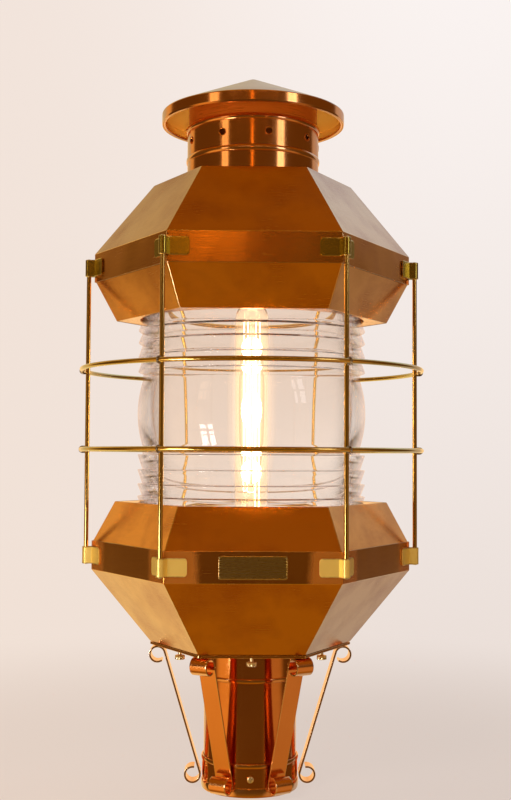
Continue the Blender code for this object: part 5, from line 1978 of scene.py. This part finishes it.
    def build_window(self, name: str, place: Colour, size: Pair, colour: Colour, strength: float) -> None:
        """Build a card with four bright panes that stands for a window, for the gloss alone.

        Args:
            name: Name of the card.
            place: Its middle.
            size: Its width and height.
            colour: Colour of its light.
            strength: How bright it is.
        """
        build = bmesh.new()
        bar = 0.06 * size[0]
        pane_w = (size[0] - bar) / 2
        pane_h = (size[1] - bar) / 2
        for side_x in (-1, 1):
            for side_y in (-1, 1):
                middle = Vector((side_x * (pane_w + bar) / 2, side_y * (pane_h + bar) / 2, 0.0))
                spot = Matrix.Translation(middle) @ Matrix.Diagonal((pane_w, pane_h, 1.0, 1.0))
                bmesh.ops.create_grid(build, x_segments=1, y_segments=1, size=0.5, matrix=spot)
        mesh = bpy.data.meshes.new(name)
        build.to_mesh(mesh)
        build.free()
        aim = (Vector((0.0, 0.0, 0.33)) - Vector(place)).to_track_quat("Z", "Y").to_matrix().to_4x4()
        mesh.transform(Matrix.Translation(place) @ aim)
        card = link_piece(name, mesh)
        material, tree, output = new_material(name)
        light = tree.add("ShaderNodeEmission", {"Color": (*colour, 1.0), "Strength": strength})
        tree.tree.links.new(light.outputs[0], output.inputs["Surface"])
        mesh.materials.append(material)
        card.visible_camera = False
        card.visible_transmission = False
        card.visible_shadow = False
        card.visible_diffuse = False

    def build_soft_light(self, name: str, place: Colour, aim: Colour, power: float, colour: Colour) -> None:
        """Build a large soft light that metal doesn't mirror.

        Args:
            name: Name of the light.
            place: Where it stands.
            aim: What it is turned to.
            power: Its power in watts.
            colour: Its colour.
        """
        data = bpy.data.lights.new(name, "AREA")
        data.energy = power
        data.size = 0.8
        data.color = colour
        light = bpy.data.objects.new(name, data)
        turn = (Vector(place) - Vector(aim)).to_track_quat("Z", "Y").to_matrix().to_4x4()
        light.matrix_world = Matrix.Translation(place) @ turn
        light.visible_glossy = False
        light.visible_camera = False
        light.visible_transmission = False
        bpy.context.scene.collection.objects.link(light)

    def build_vent_light(self) -> None:
        """Light the underside of the vent cap softly from below."""
        low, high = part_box("vent_cap")
        data = bpy.data.lights.new("vent_light", "SPOT")
        data.energy = 40.0
        data.color = (1.0, 0.80, 0.52)
        data.spot_size = math.radians(13.0)
        data.spot_blend = 0.6
        data.shadow_soft_size = 0.15
        place = Vector((0.0, -1.0, 0.10))
        turn = (place - Vector((0.0, 0.0, low.z))).to_track_quat("Z", "Y").to_matrix().to_4x4()
        light = bpy.data.objects.new("vent_light", data)
        light.matrix_world = Matrix.Translation(place) @ turn
        light.visible_glossy = False
        bpy.context.scene.collection.objects.link(light)

    def build_lamp_light(self) -> None:
        """Let the lamp light the copper round it a little."""
        low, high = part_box("bulb_glass")
        for number in range(3):
            data = bpy.data.lights.new(f"lamp_light_{number}", "POINT")
            data.energy = 0.5
            data.color = (1.0, 0.62, 0.30)
            data.shadow_soft_size = 0.012
            light = bpy.data.objects.new(f"lamp_light_{number}", data)
            light.location = (0.0, 0.0, low.z + (high.z - low.z) * (0.25 + 0.25 * number))
            bpy.context.scene.collection.objects.link(light)


def body_scrub() -> Scrub:
    """Find the scrubbed places of the body's band from the frame."""
    low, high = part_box("body_pan")
    band_h = 25.4 * MM
    reach = 25.0 * MM
    half_side = high.y * math.tan(math.pi / SIDES)
    return Scrub(2 * high.y, half_side - reach, high.z - band_h, high.z)


def main() -> None:
    """Build the lantern piece by piece, then the studio round it."""
    logging.basicConfig(level=logging.INFO, format="%(message)s")
    bpy.context.scene.view_settings.view_transform = "Standard"
    shop = Shop(Finishes(body_scrub()))
    builders: list[Callable[[], None]] = [Vent(shop).build, CopperCase(shop).build, SteppedLens(shop).build,
                                          Cage(shop).build, PostFitter(shop).build, Thumbscrews(shop).build,
                                          LampHolder(shop).build, Lamp(shop).build, Studio().build]
    for builder in builders:
        builder()


if __name__ == "__main__":
    main()
